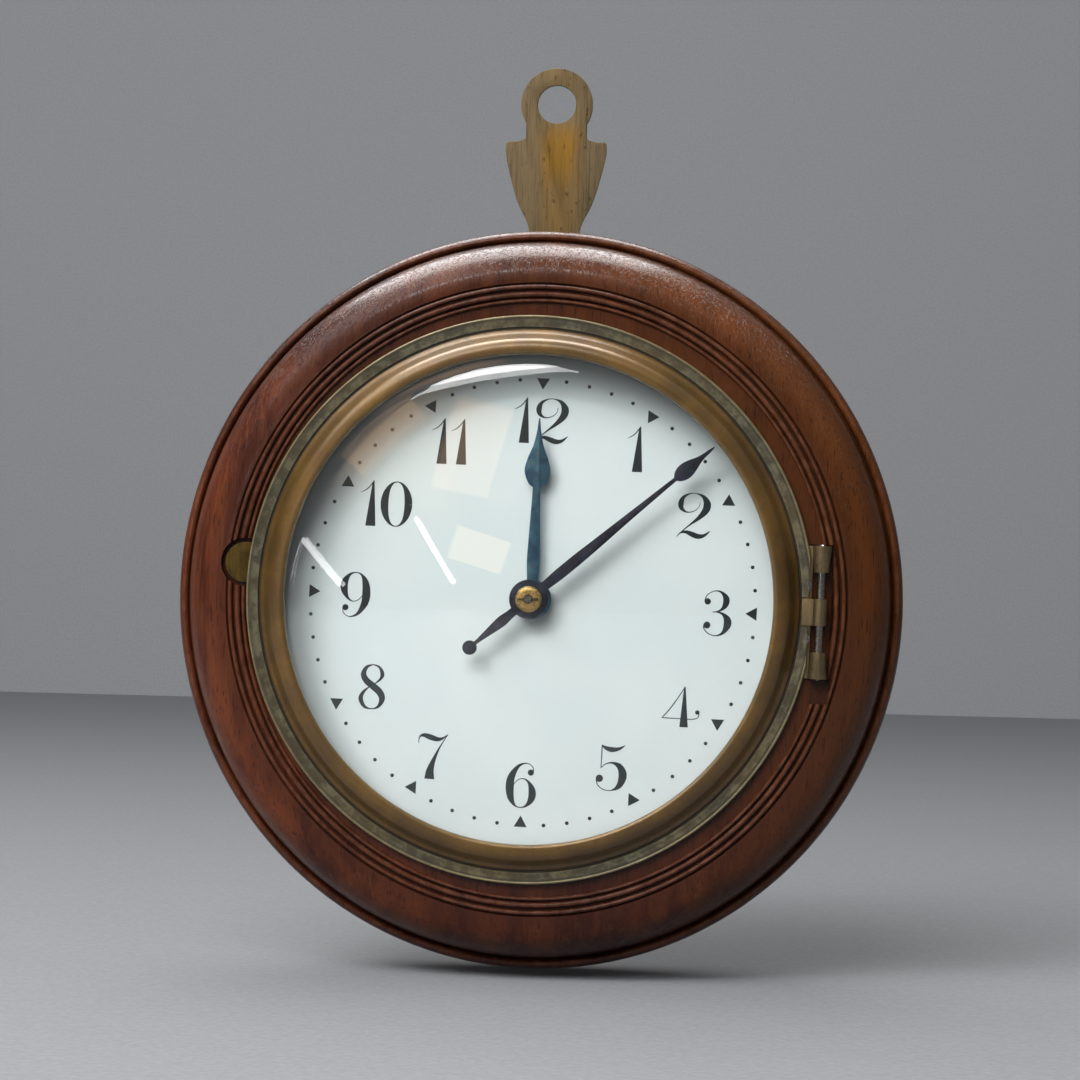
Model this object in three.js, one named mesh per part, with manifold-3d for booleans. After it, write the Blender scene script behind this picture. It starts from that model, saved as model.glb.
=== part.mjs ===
// A sedan clock: a turned mahogany case that hangs on a brass plate, with a hinged brass bezel, an
// enamel dial, blued hands and a lever movement that is wound from the back.
// Millimetres, +Z up, the dial faces -Y. The origin is the centre of the hanging hole, on the wall.
// Depths run from the wall (0) towards the front, so a depth of 10 is y = -10.
import * as THREE from "three";
import { mergeVertices } from "three/addons/utils/BufferGeometryUtils.js";
import Module from "manifold-3d";

const wasm = await Module();
wasm.setup();

// Clearances
const seatGap = 0.3; // between pieces that rest on each other
const runGap = 0.25; // round a pin or an arbor that turns in its hole
const toothGap = 0.4; // between pieces that only touch while the clock runs

// Depths, one after another from the wall to the hands
const doorThickness = 4.4;
const movementRoom = 6.6; // between the door and the back plate, for the balance and its cock
const plateSheet = 1.5;
const pillarHeight = 11.5;
const ringDrop = 2.6; // of the front plate behind the ledge
const recessDepth = 9.3; // from the bezel's seat down to the ledge
const mouldingHeight = 15.4; // from the drum's front up to the bezel's seat
const dialStand = 2.9; // of the dial's edge in front of the ledge
const dialRise = 1.5;
const hourHandGap = 1.8; // in front of the dial
const minuteHandGap = 1.4; // in front of the hour hand
const handThickness = 0.6;
const backPlateDepth = doorThickness + movementRoom; // of the back plate's rear face
const frontPlateDepth = backPlateDepth + plateSheet + pillarHeight;
const plateFace = frontPlateDepth + plateSheet;
const ledgeDepth = plateFace + ringDrop; // the movement ring is screwed to this ledge
const flatDepth = ledgeDepth + recessDepth; // the seat of the bezel
const drumDepth = flatDepth - mouldingHeight;
const dialEdgeDepth = ledgeDepth + dialStand;
const hourHandDepth = dialEdgeDepth + dialRise + hourHandGap;
const minuteHandDepth = hourHandDepth + handThickness + minuteHandGap;

// Case, from its rim inwards
const caseRadius = 82.5;
const woodShrink = 0.983; // the wood has shrunk across its grain
const hangRise = 32.5; // of the hanging hole above the case's top
const hangDrop = caseRadius + hangRise; // from the hanging hole down to the case's axis
const dialOffset = -1.4; // the bezel, dial and movement sit a little left of the wood's axis
const drumStep = 10.5; // from the rim in to the drum behind it
const drumRadius = caseRadius - drumStep;
const rimBead = 2.7; // width of the bead round the rim
const rimBeadHeight = 5.2;
const ovoloWidth = 9.9;
const ovoloHeight = 10.7;
const beadsWidth = 4.6; // of the three fine beads between the ovolo and the bezel's seat
const beadHeight = 1.2; // of those beads above that seat
const flatRadius = caseRadius - rimBead - ovoloWidth - beadsWidth;
const bezelMargin = 2.8; // of bare wood round the bezel
const flangeRadius = flatRadius - bezelMargin;
const flangeLap = 5; // of the bezel on its seat
const recessRadius = flangeRadius - flangeLap; // the dial lies in this recess
const ledgeWidth = 12.5;
const boreRadius = recessRadius - ledgeWidth;

// Bezel and glass
const flangeThickness = 1;
const crestInset = 7.9; // of the moulding's crest from the flange's edge
const mouldingRise = 3.5; // above the flange's face
const mouldingRound = 3.3; // radius of its round, which ends in a hollow
const glassOutset = 0.8; // of the glass's edge from the crest
const glassLap = 1.8; // of the bezel's lip over the glass
const crestRadius = flangeRadius - crestInset;
const glassRadius = crestRadius + glassOutset;
const sightRadius = glassRadius - glassLap;
const glassThickness = 1.5;
const glassRise = 9.1;
const keeperWidth = 1.4;
const keeperThickness = 0.8;

// Bezel hinge
const hingeLength = 29;
const hingePinRadius = 0.9;
const hingePinGap = 1.3; // from the bezel's edge out to the pin's axis
const hingePinOffset = flangeRadius + hingePinGap;
const caseKnuckleRadius = 2.15;
const bezelKnuckleRadius = 1.5;
const leafThickness = 1;
const leafInnerReach = 4.9; // from the pin towards the dial
const hingeScrewInset = 3.2;
const hingeScrewSpread = 5.8;

// Catch
const catchHeight = 8.9;
const catchOut = 5; // of its round end, outside the bezel's edge
const catchIn = 3.6; // of its inner end, under the bezel
const catchReach = flangeRadius + catchOut;
const catchInner = flangeRadius - catchIn;
const catchRise = 6.8; // above the bezel's axis
const catchThickness = 1;
const catchPlay = 0.9;
const catchPivotInset = 1.6;

// Back door and its hinge
const doorMargin = 20.4; // of wood round the door
const doorRadius = drumRadius - doorMargin;
const doorChamfer = 0.9; // round the door's outer edge, so that it swings clear
const doorHingeLength = 18;
const doorLeafReach = 9;
const doorLeafThickness = 1;
const doorKnuckleRadius = 1.5;
const doorPinRadius = 0.8;
const doorGap = 0.6; // round the door
const doorPinInset = 2; // of the pin's axis, outside the door's edge
const fingerNotchRadius = 7;
const fingerNotchDepth = 2.4;

// Hanging plate
const plateThickness = 1.6;
const hangHoleRadius = 4.5;
const plateEyeRadius = 8.35;
const plateShoulder = 11.75; // half widths of the eye's shoulders, its neck, its waist and its foot
const plateNeck = 7.05;
const plateWaist = 5.8;
const plateFoot = 10;
const plateShoulderDrop = 8.8; // below the hanging hole
const plateShoulderEdge = 1;
const plateEndGap = 2.4; // from the plate's lower end to the door
const plateLength = hangDrop - doorRadius - plateEndGap; // from the hanging hole down to its lower end
const plateWaistShare = 0.5082; // of that length, down to the waist
const plateFootRise = 17; // of the foot's straight sides
const plateFootCorner = 4;
const plateScrewSpread = 5.5;
const plateScrewRise = 8.5; // above the plate's lower end

// Dial and hands
const dialMargin = 0.9; // round the dial in its recess
const dialRadius = recessRadius - dialMargin;
const dialThickness = 1.2;
const dialFootRadius = 1.4;
const dialPinRadius = 0.4;
const dialPinLength = 7;
const dialTurn = 1.3; // the dial sits this many degrees clockwise
const minuteHandAngle = 47;
const hourHandAngle = 0;
const minuteTipGap = 0.7; // from the minute hand's tip to the bezel
const hourTipInset = 13.2; // of the hour hand's tip from the minute hand's
const minuteTip = sightRadius - minuteTipGap;
const hourTip = minuteTip - hourTipInset;
const minuteTailShare = 0.31758; // of the reach of its tip
const minuteTail = minuteTip * minuteTailShare;
const minuteBallRadius = 1.6;
const minuteBossRadius = 4.3;
const hourBossRadius = 4;
const colletRadius = 3.05;
const colletThickness = 1;
const handPinRadius = 0.3;

// Movement frame, from its rim inwards
const plateRadius = 32;
const plateStep = 4; // of the front plate beyond the back plate
const frontPlateRadius = plateRadius + plateStep;
const pillarRadius = 2;
const pillarInset = 4;
const pillarCircle = plateRadius - pillarInset;
const pillarEndRadius = 1.2;
const frameScrewInset = 3;
const frameScrewCircle = frontPlateRadius - frameScrewInset;
const ringShelf = frameScrewCircle - frameScrewInset; // inner radius of the front plate's shelf
const dialFootInset = 4; // of the dial's feet inside that shelf
const dialFootCircle = ringShelf - dialFootInset;
const ringMargin = 2; // of bare ledge round the movement ring
const ringFlange = ledgeWidth - ringMargin;
const ringWall = 1.3;
const ringSheet = 1;
const ringScrewInset = 5.5;
const ringScrewCircle = boreRadius + ringScrewInset;

// Wheels. The whole train grows with the plates, so its lengths in the plane are shares of their radius.
const ofPlate = (share) => share * plateRadius;
const motionModule = ofPlate(0.015625);
const cannonTeeth = 10;
const minuteWheelTeeth = 30;
const minutePinionTeeth = 8;
const hourWheelTeeth = 32;
const barrelModule = ofPlate(0.01640625);
const centreModule = ofPlate(0.015);
const thirdModule = ofPlate(0.01375);
const fourthModule = ofPlate(0.0115625);
const barrelTeeth = 50;
const centrePinionTeeth = 10;
const centreWheelTeeth = 48;
const thirdPinionTeeth = 6;
const thirdWheelTeeth = 45;
const fourthPinionTeeth = 6;
const fourthWheelTeeth = 48;
const escapePinionTeeth = 6;
const escapeTeeth = 15;
const escapeRadius = ofPlate(0.175);
const ratchetTeeth = 24;
const ratchetRadius = ofPlate(0.1875);
const wheelSheet = 0.8;
const arborRadius = 0.8;
const pivotRadius = 0.45;
const centreArborRadius = 1.1;
const setArborRadius = 0.8;
const cannonPipeRadius = 1.6;
const hourPipeWall = 0.7;
const barrelDrumRadius = ofPlate(0.375);
const barrelWall = 0.9;
const barrelDepth = 7;
const barrelRise = 9; // of the barrel's front above the back plate
const escapeRise = 1.5; // of the wheels' backs above the back plate
const thirdRise = 3.7;
const fourthRise = 7.7;
const barrelArborRadius = 1.6;
const barrelCoreRadius = 4;
const mainspringTurns = 4;
const mainspringThickness = 0.5;
const clickLength = ofPlate(0.16875); // from its stud to its nose
const clickStudDistance = ofPlate(0.31875); // from the barrel's axis
const clickStudAngle = 118;
const clickEyeRadius = 1.7;
const clickSpringGap = 0.9; // leaves the click room to lift
const clickSpringThickness = 0.4;
const palletDistance = ofPlate(0.25625);
const leverLength = ofPlate(0.175);
const balanceRadius = ofPlate(0.28125);
const balanceRim = 1.2;
const balanceDrop = 2.3; // of the balance's rim behind the back plate
const balanceDepth = backPlateDepth - balanceDrop;
const cockDrop = 2.7; // of the cock behind the balance
const balanceStaffRadius = 0.6;
const rollerRadius = 1.8;
const hairspringTurns = 4;
const hairspringOuter = ofPlate(0.175);
const hairspringInner = 1.7;
const hairspringThickness = 0.25;
const cockThickness = 1.2;
const cockFootDistance = ofPlate(0.384375);

// Places that follow from the sizes above
const flangeBack = flatDepth + seatGap;
const flangeFace = flangeBack + flangeThickness;
const motionDistance = (motionModule * (cannonTeeth + minuteWheelTeeth)) / 2;
const dialBackDepth = dialEdgeDepth - dialThickness;

const radians = (degrees) => THREE.MathUtils.degToRad(degrees);

// A point in the front view, at a distance and an angle counted anticlockwise from three o'clock.
function polar(distance, degrees, from = [0, 0]) {
  const angle = radians(degrees);
  return [from[0] + distance * Math.cos(angle), from[1] + distance * Math.sin(angle)];
}

// Points on an ellipse's arc, as [radius, depth] or [x, y].
function arcPoints(centre, radii, startDegrees, endDegrees, steps) {
  const points = [];
  for (let i = 0; i <= steps; i++) {
    const angle = radians(startDegrees + ((endDegrees - startDegrees) * i) / steps);
    points.push([centre[0] + radii[0] * Math.cos(angle), centre[1] + radii[1] * Math.sin(angle)]);
  }
  return points;
}

// Merges shared corners, drops flat triangles and turns the faces outwards.
function closed(geometry) {
  const bare = geometry.clone();
  bare.deleteAttribute("normal");
  bare.deleteAttribute("uv");
  const merged = mergeVertices(bare, 1e-4);
  const position = merged.attributes.position;
  const corner = [new THREE.Vector3(), new THREE.Vector3(), new THREE.Vector3()];
  const triangles = [];
  let volume = 0;
  for (let i = 0; i < merged.index.count; i += 3) {
    const ids = [0, 1, 2].map((k) => merged.index.getX(i + k));
    if (new Set(ids).size < 3) continue;
    triangles.push(ids);
    ids.forEach((id, k) => corner[k].fromBufferAttribute(position, id));
    volume += corner[0].dot(corner[1].cross(corner[2]));
  }
  const order = volume < 0 ? [0, 2, 1] : [0, 1, 2];
  merged.setIndex(triangles.flatMap((ids) => order.map((k) => ids[k])));
  return merged;
}

function solid(geometry) {
  const shape = closed(geometry);
  return new wasm.Manifold(
    new wasm.Mesh({
      numProp: 3,
      vertProperties: new Float32Array(shape.attributes.position.array),
      triVerts: new Uint32Array(shape.index.array),
    }),
  );
}

function geometryOf(body) {
  const mesh = body.getMesh();
  const geometry = new THREE.BufferGeometry();
  geometry.setAttribute("position", new THREE.BufferAttribute(mesh.vertProperties, 3));
  geometry.setIndex(new THREE.BufferAttribute(mesh.triVerts, 1));
  return geometry;
}

function cut(geometry, tools) {
  return geometryOf(tools.reduce((body, tool) => body.subtract(solid(tool)), solid(geometry)));
}

function joined(pieces) {
  return geometryOf(pieces.slice(1).reduce((body, piece) => body.add(solid(piece)), solid(pieces[0])));
}

// Turned work about the depth axis, from [radius, depth] points.
function turned(points, segments = 64) {
  const profile = points.map(([radius, depth]) => new THREE.Vector2(radius, -depth));
  return new THREE.LatheGeometry(profile, segments);
}

function rod(radius, backDepth, frontDepth, [x, z] = [0, 0], segments = 12) {
  const profile = [[0, backDepth], [radius, backDepth], [radius, frontDepth], [0, frontDepth]];
  return turned(profile, segments).translate(x, 0, z);
}

// A stepped arbor from [radius, depth] steps, each radius holding until the next step's depth.
function arbor(steps, endDepth, segments = 10) {
  const points = [[0, steps[0][1]]];
  steps.forEach(([radius, depth], i) => {
    const until = i + 1 < steps.length ? steps[i + 1][1] : endDepth;
    points.push([radius, depth], [radius, until]);
  });
  points.push([0, endDepth]);
  return turned(points, segments);
}

function place(geometry, [x, z]) {
  return geometry.translate(x, 0, z);
}

function washer(innerRadius, outerRadius, backDepth, frontDepth, segments = 64) {
  const profile = [
    [innerRadius, backDepth],
    [outerRadius, backDepth],
    [outerRadius, frontDepth],
    [innerRadius, frontDepth],
    [innerRadius, backDepth],
  ];
  return turned(profile, segments);
}

// A plate cut from a front-view shape, between two depths.
function sheet(shape, backDepth, frontDepth, curveSegments = 12) {
  const options = { depth: frontDepth - backDepth, bevelEnabled: false, curveSegments };
  return new THREE.ExtrudeGeometry(shape, options).rotateX(Math.PI / 2).translate(0, -backDepth, 0);
}

// A bar along Z cut from a plan-view shape in X and Y.
function upright(shape, low, high, curveSegments = 10) {
  const options = { depth: high - low, bevelEnabled: false, curveSegments };
  return new THREE.ExtrudeGeometry(shape, options).translate(0, 0, low);
}

// Cuts round holes, each given as [centre, radius], in a shape.
function pierced(shape, holes, holeSides) {
  shape.holes = holes.map(([centre, radius]) => {
    const points = arcPoints(centre, [radius, radius], 360, 360 / holeSides, holeSides - 1);
    return new THREE.Path(points.map(([x, y]) => new THREE.Vector2(x, y)));
  });
  return shape;
}

function outline(points, holes = [], holeSides = 8) {
  return pierced(new THREE.Shape(points.map(([x, y]) => new THREE.Vector2(x, y))), holes, holeSides);
}

function disc(centre, radius, holes = [], sides = 40) {
  return outline(arcPoints(centre, [radius, radius], 0, 360 - 360 / sides, sides - 1), holes);
}

function block([lowX, highX], [backDepth, frontDepth], [lowZ, highZ]) {
  const box = new THREE.BoxGeometry(highX - lowX, frontDepth - backDepth, highZ - lowZ);
  return box.translate((lowX + highX) / 2, -(backDepth + frontDepth) / 2, (lowZ + highZ) / 2);
}

// A flat strip wound into a spiral, as a front-view shape.
function spiralShape(innerRadius, outerRadius, turns, thickness, stepsPerTurn, startDegrees = 0) {
  const steps = turns * stepsPerTurn;
  const side = (offset) => {
    const points = [];
    for (let i = 0; i <= steps; i++) {
      const radius = innerRadius + ((outerRadius - innerRadius) * i) / steps;
      points.push(polar(radius + offset, startDegrees + (360 * i) / stepsPerTurn));
    }
    return points;
  };
  return outline([...side(0), ...side(thickness).reverse()]);
}

// Screws. A countersunk head lies flush with the face at faceDepth; way is 1 for a screw that runs from
// the back towards the front and -1 for one that runs from the front towards the back.
function screwPoints({ head, shank, length }, grow, overshoot) {
  const rim = 0.3;
  return [
    [0, -overshoot],
    [head + grow, -overshoot],
    [head + grow, rim],
    [shank + grow, rim + head - shank],
    [shank + grow, length + grow],
    [0, length + grow],
  ];
}

function screw(size, faceDepth, way, [x, z]) {
  const points = screwPoints(size, 0, 0).map(([radius, along]) => [radius, faceDepth + way * along]);
  const slot = block(
    [-size.head - 1, size.head + 1],
    [faceDepth - size.slot, faceDepth + size.slot],
    [-size.slot / 2, size.slot / 2],
  );
  return cut(turned(points, 10), [slot]).translate(x, 0, z);
}

function screwHole(size, faceDepth, way, [x, z]) {
  const points = screwPoints(size, runGap, 1);
  return turned(points.map(([radius, along]) => [radius, faceDepth + way * along]), 10).translate(x, 0, z);
}

// Toothed wheels with pointed teeth; phase is the angle of one tooth's middle.
function toothedPoints(teeth, module, phase) {
  const pitchRadius = (teeth * module) / 2;
  const tip = pitchRadius + 0.85 * module;
  const root = pitchRadius - 1.15 * module;
  const pitch = 360 / teeth;
  const points = [];
  for (let i = 0; i < teeth; i++) {
    points.push(polar(tip, phase + i * pitch));
    points.push(polar(root, phase + (i + 0.5) * pitch));
  }
  return points;
}

function toothed(teeth, module, phase, backDepth, frontDepth, boreRadius = 0) {
  const holes = boreRadius > 0 ? [[[0, 0], boreRadius]] : [];
  return sheet(outline(toothedPoints(teeth, module, phase), holes), backDepth, frontDepth, 6);
}

// The phase that lets a follower's gap meet the tooth that a driver points along the line of centres.
const gapPhase = (lineDegrees, teeth) => lineDegrees + 180 + 180 / teeth;

const materials = {
  mahogany: new THREE.MeshStandardMaterial({ color: 0x5c3222, roughness: 0.4 }),
  brass: new THREE.MeshStandardMaterial({ color: 0x7a6034, roughness: 0.45, metalness: 1 }),
  gilt: new THREE.MeshStandardMaterial({ color: 0xb99b5a, roughness: 0.35, metalness: 1 }),
  steel: new THREE.MeshStandardMaterial({ color: 0x9a9a98, roughness: 0.35, metalness: 1 }),
  blued: new THREE.MeshStandardMaterial({ color: 0x35404f, roughness: 0.35, metalness: 1 }),
  enamel: new THREE.MeshStandardMaterial({ color: 0xe0e6e6, roughness: 0.15 }),
  glass: new THREE.MeshStandardMaterial({ color: 0xf4f8f6, roughness: 0, opacity: 0.2, transparent: true }),
};

const clock = new THREE.Group();
clock.name = "sedan_clock";
// The wood turns about its own axis, and the bezel, dial and movement about theirs.
const caseGroup = new THREE.Group();
caseGroup.position.set(0, 0, -hangDrop);
const dialGroup = new THREE.Group();
dialGroup.position.set(dialOffset, 0, -hangDrop);
// The bezel and its hinge are turned in the case as far as the dial is.
const bezelGroup = new THREE.Group();
bezelGroup.rotation.y = radians(dialTurn);
dialGroup.add(bezelGroup);
clock.add(caseGroup, dialGroup);

function add(group, name, geometry, material) {
  const mesh = new THREE.Mesh(closed(geometry), material);
  mesh.name = name;
  group.add(mesh);
  return mesh;
}

// Screw sizes
const plateScrewSize = { head: 2.6, shank: 1.3, length: 12, slot: 0.6 };
const hingeScrewSize = { head: 1.4, shank: 0.7, length: 7, slot: 0.4 };
const catchScrewSize = { head: 1.3, shank: 0.7, length: 7, slot: 0.4 };
const ringScrewSize = { head: 1.7, shank: 0.9, length: 8, slot: 0.45 };
const frameScrew = { head: 1.6, headHeight: 0.9, shank: 0.8 };
const doorScrewSize = { head: 1.2, shank: 0.6, length: 3.4, slot: 0.35 };

// Places of the screws in the front view, from the hanging hole for the plate's and else from the dial
const pair = (spread) => [-spread, spread];
const plateScrewPlaces = pair(plateScrewSpread).map((x) => [x, plateScrewRise - plateLength]);
const hingeScrewPlaces = pair(hingeScrewSpread).map((z) => [hingePinOffset - hingeScrewInset, z]);
const catchPivot = [-catchInner - catchPivotInset, catchRise];
const ringScrewPlaces = [60, 180, 300].map((degrees) => polar(ringScrewCircle, degrees));
const frameScrewPlaces = [20, 160, 270].map((degrees) => polar(frameScrewCircle, degrees));
const dialFootPlaces = [90, 205, 335].map((degrees) => polar(dialFootCircle, degrees));
const pillarPlaces = [45, 135, 225, 315].map((degrees) => polar(pillarCircle, degrees));

// Back hinge, shared by the door, the case and the leaves
const doorPinX = doorRadius + doorPinInset;
const doorPinDepth = doorKnuckleRadius + seatGap;
const doorScrewX = doorLeafReach * 0.65;

function backHingeRecess() {
  const groove = doorKnuckleRadius + 2 * seatGap + 0.1;
  const grooveHalf = doorHingeLength / 2 + 3;
  const leafHalf = doorHingeLength / 2 + seatGap;
  const reach = doorLeafReach + seatGap;
  const round = new THREE.CylinderGeometry(groove, groove, grooveHalf * 2, 16).rotateX(Math.PI / 2);
  return [
    round.translate(doorPinX, -doorPinDepth, 0),
    block([doorPinX - groove, doorPinX + groove], [-1, doorPinDepth], [-grooveHalf, grooveHalf]),
    block([doorPinX - reach, doorPinX + reach], [-1, doorLeafThickness + 2 * seatGap], [-leafHalf, leafHalf]),
    screwHole(doorScrewSize, seatGap, 1, [doorPinX - doorScrewX, 0]),
    screwHole(doorScrewSize, seatGap, 1, [doorPinX + doorScrewX, 0]),
  ];
}

// A catch outline: a flat inner end and a round outer one, grown all round for its pocket.
function catchShape(grow, innerReach) {
  const radius = catchHeight / 2 + grow;
  const centre = -catchReach + catchHeight / 2;
  const shape = new THREE.Shape();
  shape.moveTo(-innerReach, catchRise - radius);
  shape.lineTo(-innerReach, catchRise + radius);
  shape.lineTo(centre, catchRise + radius);
  shape.absarc(centre, catchRise, radius, Math.PI / 2, (Math.PI * 3) / 2, false);
  shape.closePath();
  return shape;
}

// The hanging plate's outline, from the eye at the top down to its foot; grow widens it into the mortise.
function hangingPlateShape(grow, holes) {
  const plateWaistDrop = plateLength * plateWaistShare;
  const neck = THREE.MathUtils.radToDeg(Math.asin(plateNeck / plateEyeRadius));
  const eye = arcPoints([0, 0], [plateEyeRadius + grow, plateEyeRadius + grow], neck - 90, 270 - neck, 18);
  // Between shoulder and waist the flank bulges: [share of the way down, share of the narrowing left]
  const bulge = [[0.144, 0.975], [0.392, 0.765], [0.635, 0.487]].map(([down, left]) => [
    plateWaist + left * (plateShoulder - plateWaist),
    plateShoulderDrop + down * (plateWaistDrop - plateShoulderDrop),
  ]);
  const flank = new THREE.SplineCurve(
    [
      [plateShoulder, plateShoulderDrop + plateShoulderEdge],
      ...bulge,
      [plateWaist, plateWaistDrop],
      [plateFoot, plateLength - plateFootRise],
    ].map(([half, drop]) => new THREE.Vector2(half, drop)),
  );
  const corner = [plateFoot - plateFootCorner, plateLength - plateFootCorner];
  const side = [
    [plateNeck, plateShoulderDrop - plateShoulderEdge],
    [(plateNeck + plateShoulder) / 2, plateShoulderDrop],
    [plateShoulder, plateShoulderDrop],
    ...flank.getPoints(15).map((point) => [point.x, point.y]),
    ...arcPoints(corner, [plateFootCorner, plateFootCorner], 0, 90, 4),
  ].map(([half, drop]) => [half + grow, drop + (drop > plateWaistDrop ? grow : 0)]);
  const left = side.map(([half, drop]) => [-half, -drop]);
  const right = side.map(([half, drop]) => [half, -drop]).reverse();
  return outline([...eye, ...left, ...right], holes, 24);
}

// Turned mahogany case
function caseProfile() {
  const grooveRadius = caseRadius - rimBead;
  const rimBack = drumDepth + 0.8;
  const rimMiddle = rimBack + rimBeadHeight / 2;
  const ovoloFoot = flatDepth + beadHeight - ovoloHeight - 0.5;
  const ovoloCentre = grooveRadius - ovoloWidth - 0.2;
  const crest = flatDepth + beadHeight;
  return [
    [0, 0],
    [drumRadius - 1, 0],
    [drumRadius, 1],
    [drumRadius, drumDepth - 1.5],
    [drumRadius + 1.5, drumDepth],
    [caseRadius - 2, rimBack],
    ...arcPoints([caseRadius - 1.6, rimMiddle], [1.6, rimBeadHeight / 2], -60, 75, 4),
    [grooveRadius + 0.2, ovoloFoot - 0.5],
    ...arcPoints([ovoloCentre, ovoloFoot], [ovoloWidth, ovoloHeight - 0.2], 0, 90, 5),
    [ovoloCentre - 0.3, crest - 0.9],
    [ovoloCentre - 0.6, crest - 0.2],
    [ovoloCentre - 1.2, crest - 0.2],
    [ovoloCentre - 1.7, crest - 0.8],
    [ovoloCentre - 2.2, crest],
    [ovoloCentre - 2.9, crest],
    [ovoloCentre - 3.4, crest - 0.9],
    [flatRadius + 0.8, crest - 0.3],
    [flatRadius + 0.5, crest - 0.1],
    [flatRadius + 0.1, crest - 0.3],
    [flatRadius - 0.1, flatDepth],
    [0, flatDepth],
  ];
}

const leafHalf = hingeLength / 2 + seatGap;
const mortiseDepth = flatDepth - leafThickness - seatGap;
const leafOuter = hingePinOffset + caseKnuckleRadius;

function caseBody() {
  const outer = turned(caseProfile(), 52).scale(woodShrink, 1, 1);
  const bores = [
    rod(recessRadius, ledgeDepth, flatDepth + 5, [dialOffset, 0], 48),
    rod(boreRadius, -1, flatDepth, [dialOffset, 0], 40),
    rod(doorRadius + doorGap, -1, doorThickness + seatGap, [dialOffset, 0], 48),
  ];
  const inBezelFrame = [
    block(
      [hingePinOffset - leafInnerReach - seatGap, leafOuter + seatGap],
      [mortiseDepth, flatDepth + 5],
      [-leafHalf, leafHalf],
    ),
    ...hingeScrewPlaces.map((place) => screwHole(hingeScrewSize, flatDepth, -1, place)),
  ].map((tool) => tool.rotateY(radians(dialTurn)));
  const inDialFrame = [
    ...inBezelFrame,
    sheet(catchShape(catchPlay, recessRadius - 2), flatDepth - catchThickness - 0.4, flatDepth + 5),
    screwHole(catchScrewSize, flatDepth - 0.1, -1, catchPivot),
    ...ringScrewPlaces.map((place) => screwHole(ringScrewSize, ledgeDepth + seatGap + ringSheet, -1, place)),
    ...backHingeRecess(),
    rod(fingerNotchRadius, -1, fingerNotchDepth, [-doorRadius - 1, 0], 24),
  ].map((tool) => tool.translate(dialOffset, 0, 0));
  const inHangingFrame = [
    sheet(hangingPlateShape(seatGap, []), -1, plateThickness + seatGap),
    ...plateScrewPlaces.map((place) => screwHole(plateScrewSize, 0, 1, place)),
  ].map((tool) => tool.translate(0, 0, hangDrop));
  return cut(outer, [...bores, ...inDialFrame, ...inHangingFrame]);
}

add(caseGroup, "case_body", caseBody(), materials.mahogany);

const hangingPlate = cut(
  sheet(hangingPlateShape(0, [[[0, 0], hangHoleRadius]]), 0, plateThickness),
  plateScrewPlaces.map((place) => screwHole(plateScrewSize, 0, 1, place)),
);
add(clock, "hanging_plate", hangingPlate, materials.brass);
plateScrewPlaces.forEach((place, i) => {
  add(clock, `plate_screw_${i + 1}`, screw(plateScrewSize, 0, 1, place), materials.steel);
});

// Back door and its hinge
const doorPoints = [
  [0, 0],
  [doorRadius - doorChamfer, 0],
  [doorRadius, doorChamfer],
  [doorRadius, doorThickness],
  [0, doorThickness],
];
add(dialGroup, "back_door", cut(turned(doorPoints, 48), backHingeRecess()), materials.mahogany);

// A hinge leaf in plan: knuckles round the pin, arms from them and a plate that side points away from it.
function backLeaf(side, knuckleSpans) {
  const armTop = doorPinDepth - 0.2;
  const knuckle = (low, high) => {
    const ring = disc([0, 0], doorKnuckleRadius, [[[0, 0], doorPinRadius + runGap]], 16);
    return upright(ring, low, high).translate(doorPinX, -doorPinDepth, 0);
  };
  const armStart = doorPinX + side * (doorPinRadius + runGap + 0.1);
  const plateStart = doorPinX + side * (doorKnuckleRadius + 0.4);
  const plateEnd = doorPinX + side * doorLeafReach;
  const span = (a, b) => [Math.min(a, b), Math.max(a, b)];
  const arms = knuckleSpans.map((z) =>
    block(span(armStart, plateStart + side), [seatGap, Math.min(seatGap + doorLeafThickness, armTop)], z),
  );
  const half = doorHingeLength / 2;
  const plate = block(span(plateStart, plateEnd), [seatGap, seatGap + doorLeafThickness], [-half, half]);
  const pieces = [plate, ...arms, ...knuckleSpans.map(([low, high]) => knuckle(low, high))];
  return cut(joined(pieces), [screwHole(doorScrewSize, seatGap, 1, [doorPinX + side * doorScrewX, 0])]);
}

const doorThird = doorHingeLength / 6;
const doorHalf = doorHingeLength / 2;
const doorLeaf = backLeaf(-1, [[-doorThird + seatGap / 2, doorThird - seatGap / 2]]);
const caseDoorLeaf = backLeaf(1, [
  [-doorHalf, -doorThird - seatGap / 2],
  [doorThird + seatGap / 2, doorHalf],
]);
add(dialGroup, "door_hinge_leaf", doorLeaf, materials.brass);
add(dialGroup, "case_back_hinge_leaf", caseDoorLeaf, materials.brass);
const doorPin = new THREE.CylinderGeometry(doorPinRadius, doorPinRadius, doorHingeLength, 12);
add(
  dialGroup,
  "back_hinge_pin",
  doorPin.rotateX(Math.PI / 2).translate(doorPinX, -doorPinDepth, 0),
  materials.steel,
);
const doorScrew = (x) => screw(doorScrewSize, seatGap, 1, [x, 0]);
add(dialGroup, "door_leaf_screw", doorScrew(doorPinX - doorScrewX), materials.steel);
add(dialGroup, "case_leaf_screw", doorScrew(doorPinX + doorScrewX), materials.steel);

// Bezel: a flat flange, a hollow and a round moulding whose crest stands at the glass
const hingePinDepth = flatDepth + seatGap + bezelKnuckleRadius;
const glassSeat = flangeFace + mouldingRise - 1.4;
const lugHalf = hingeLength / 10 + seatGap;
const lugInner = hingePinOffset - 3.9;
const lugFace = flangeFace - 0.1;
const lugBack = flangeBack + 0.2;

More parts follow.
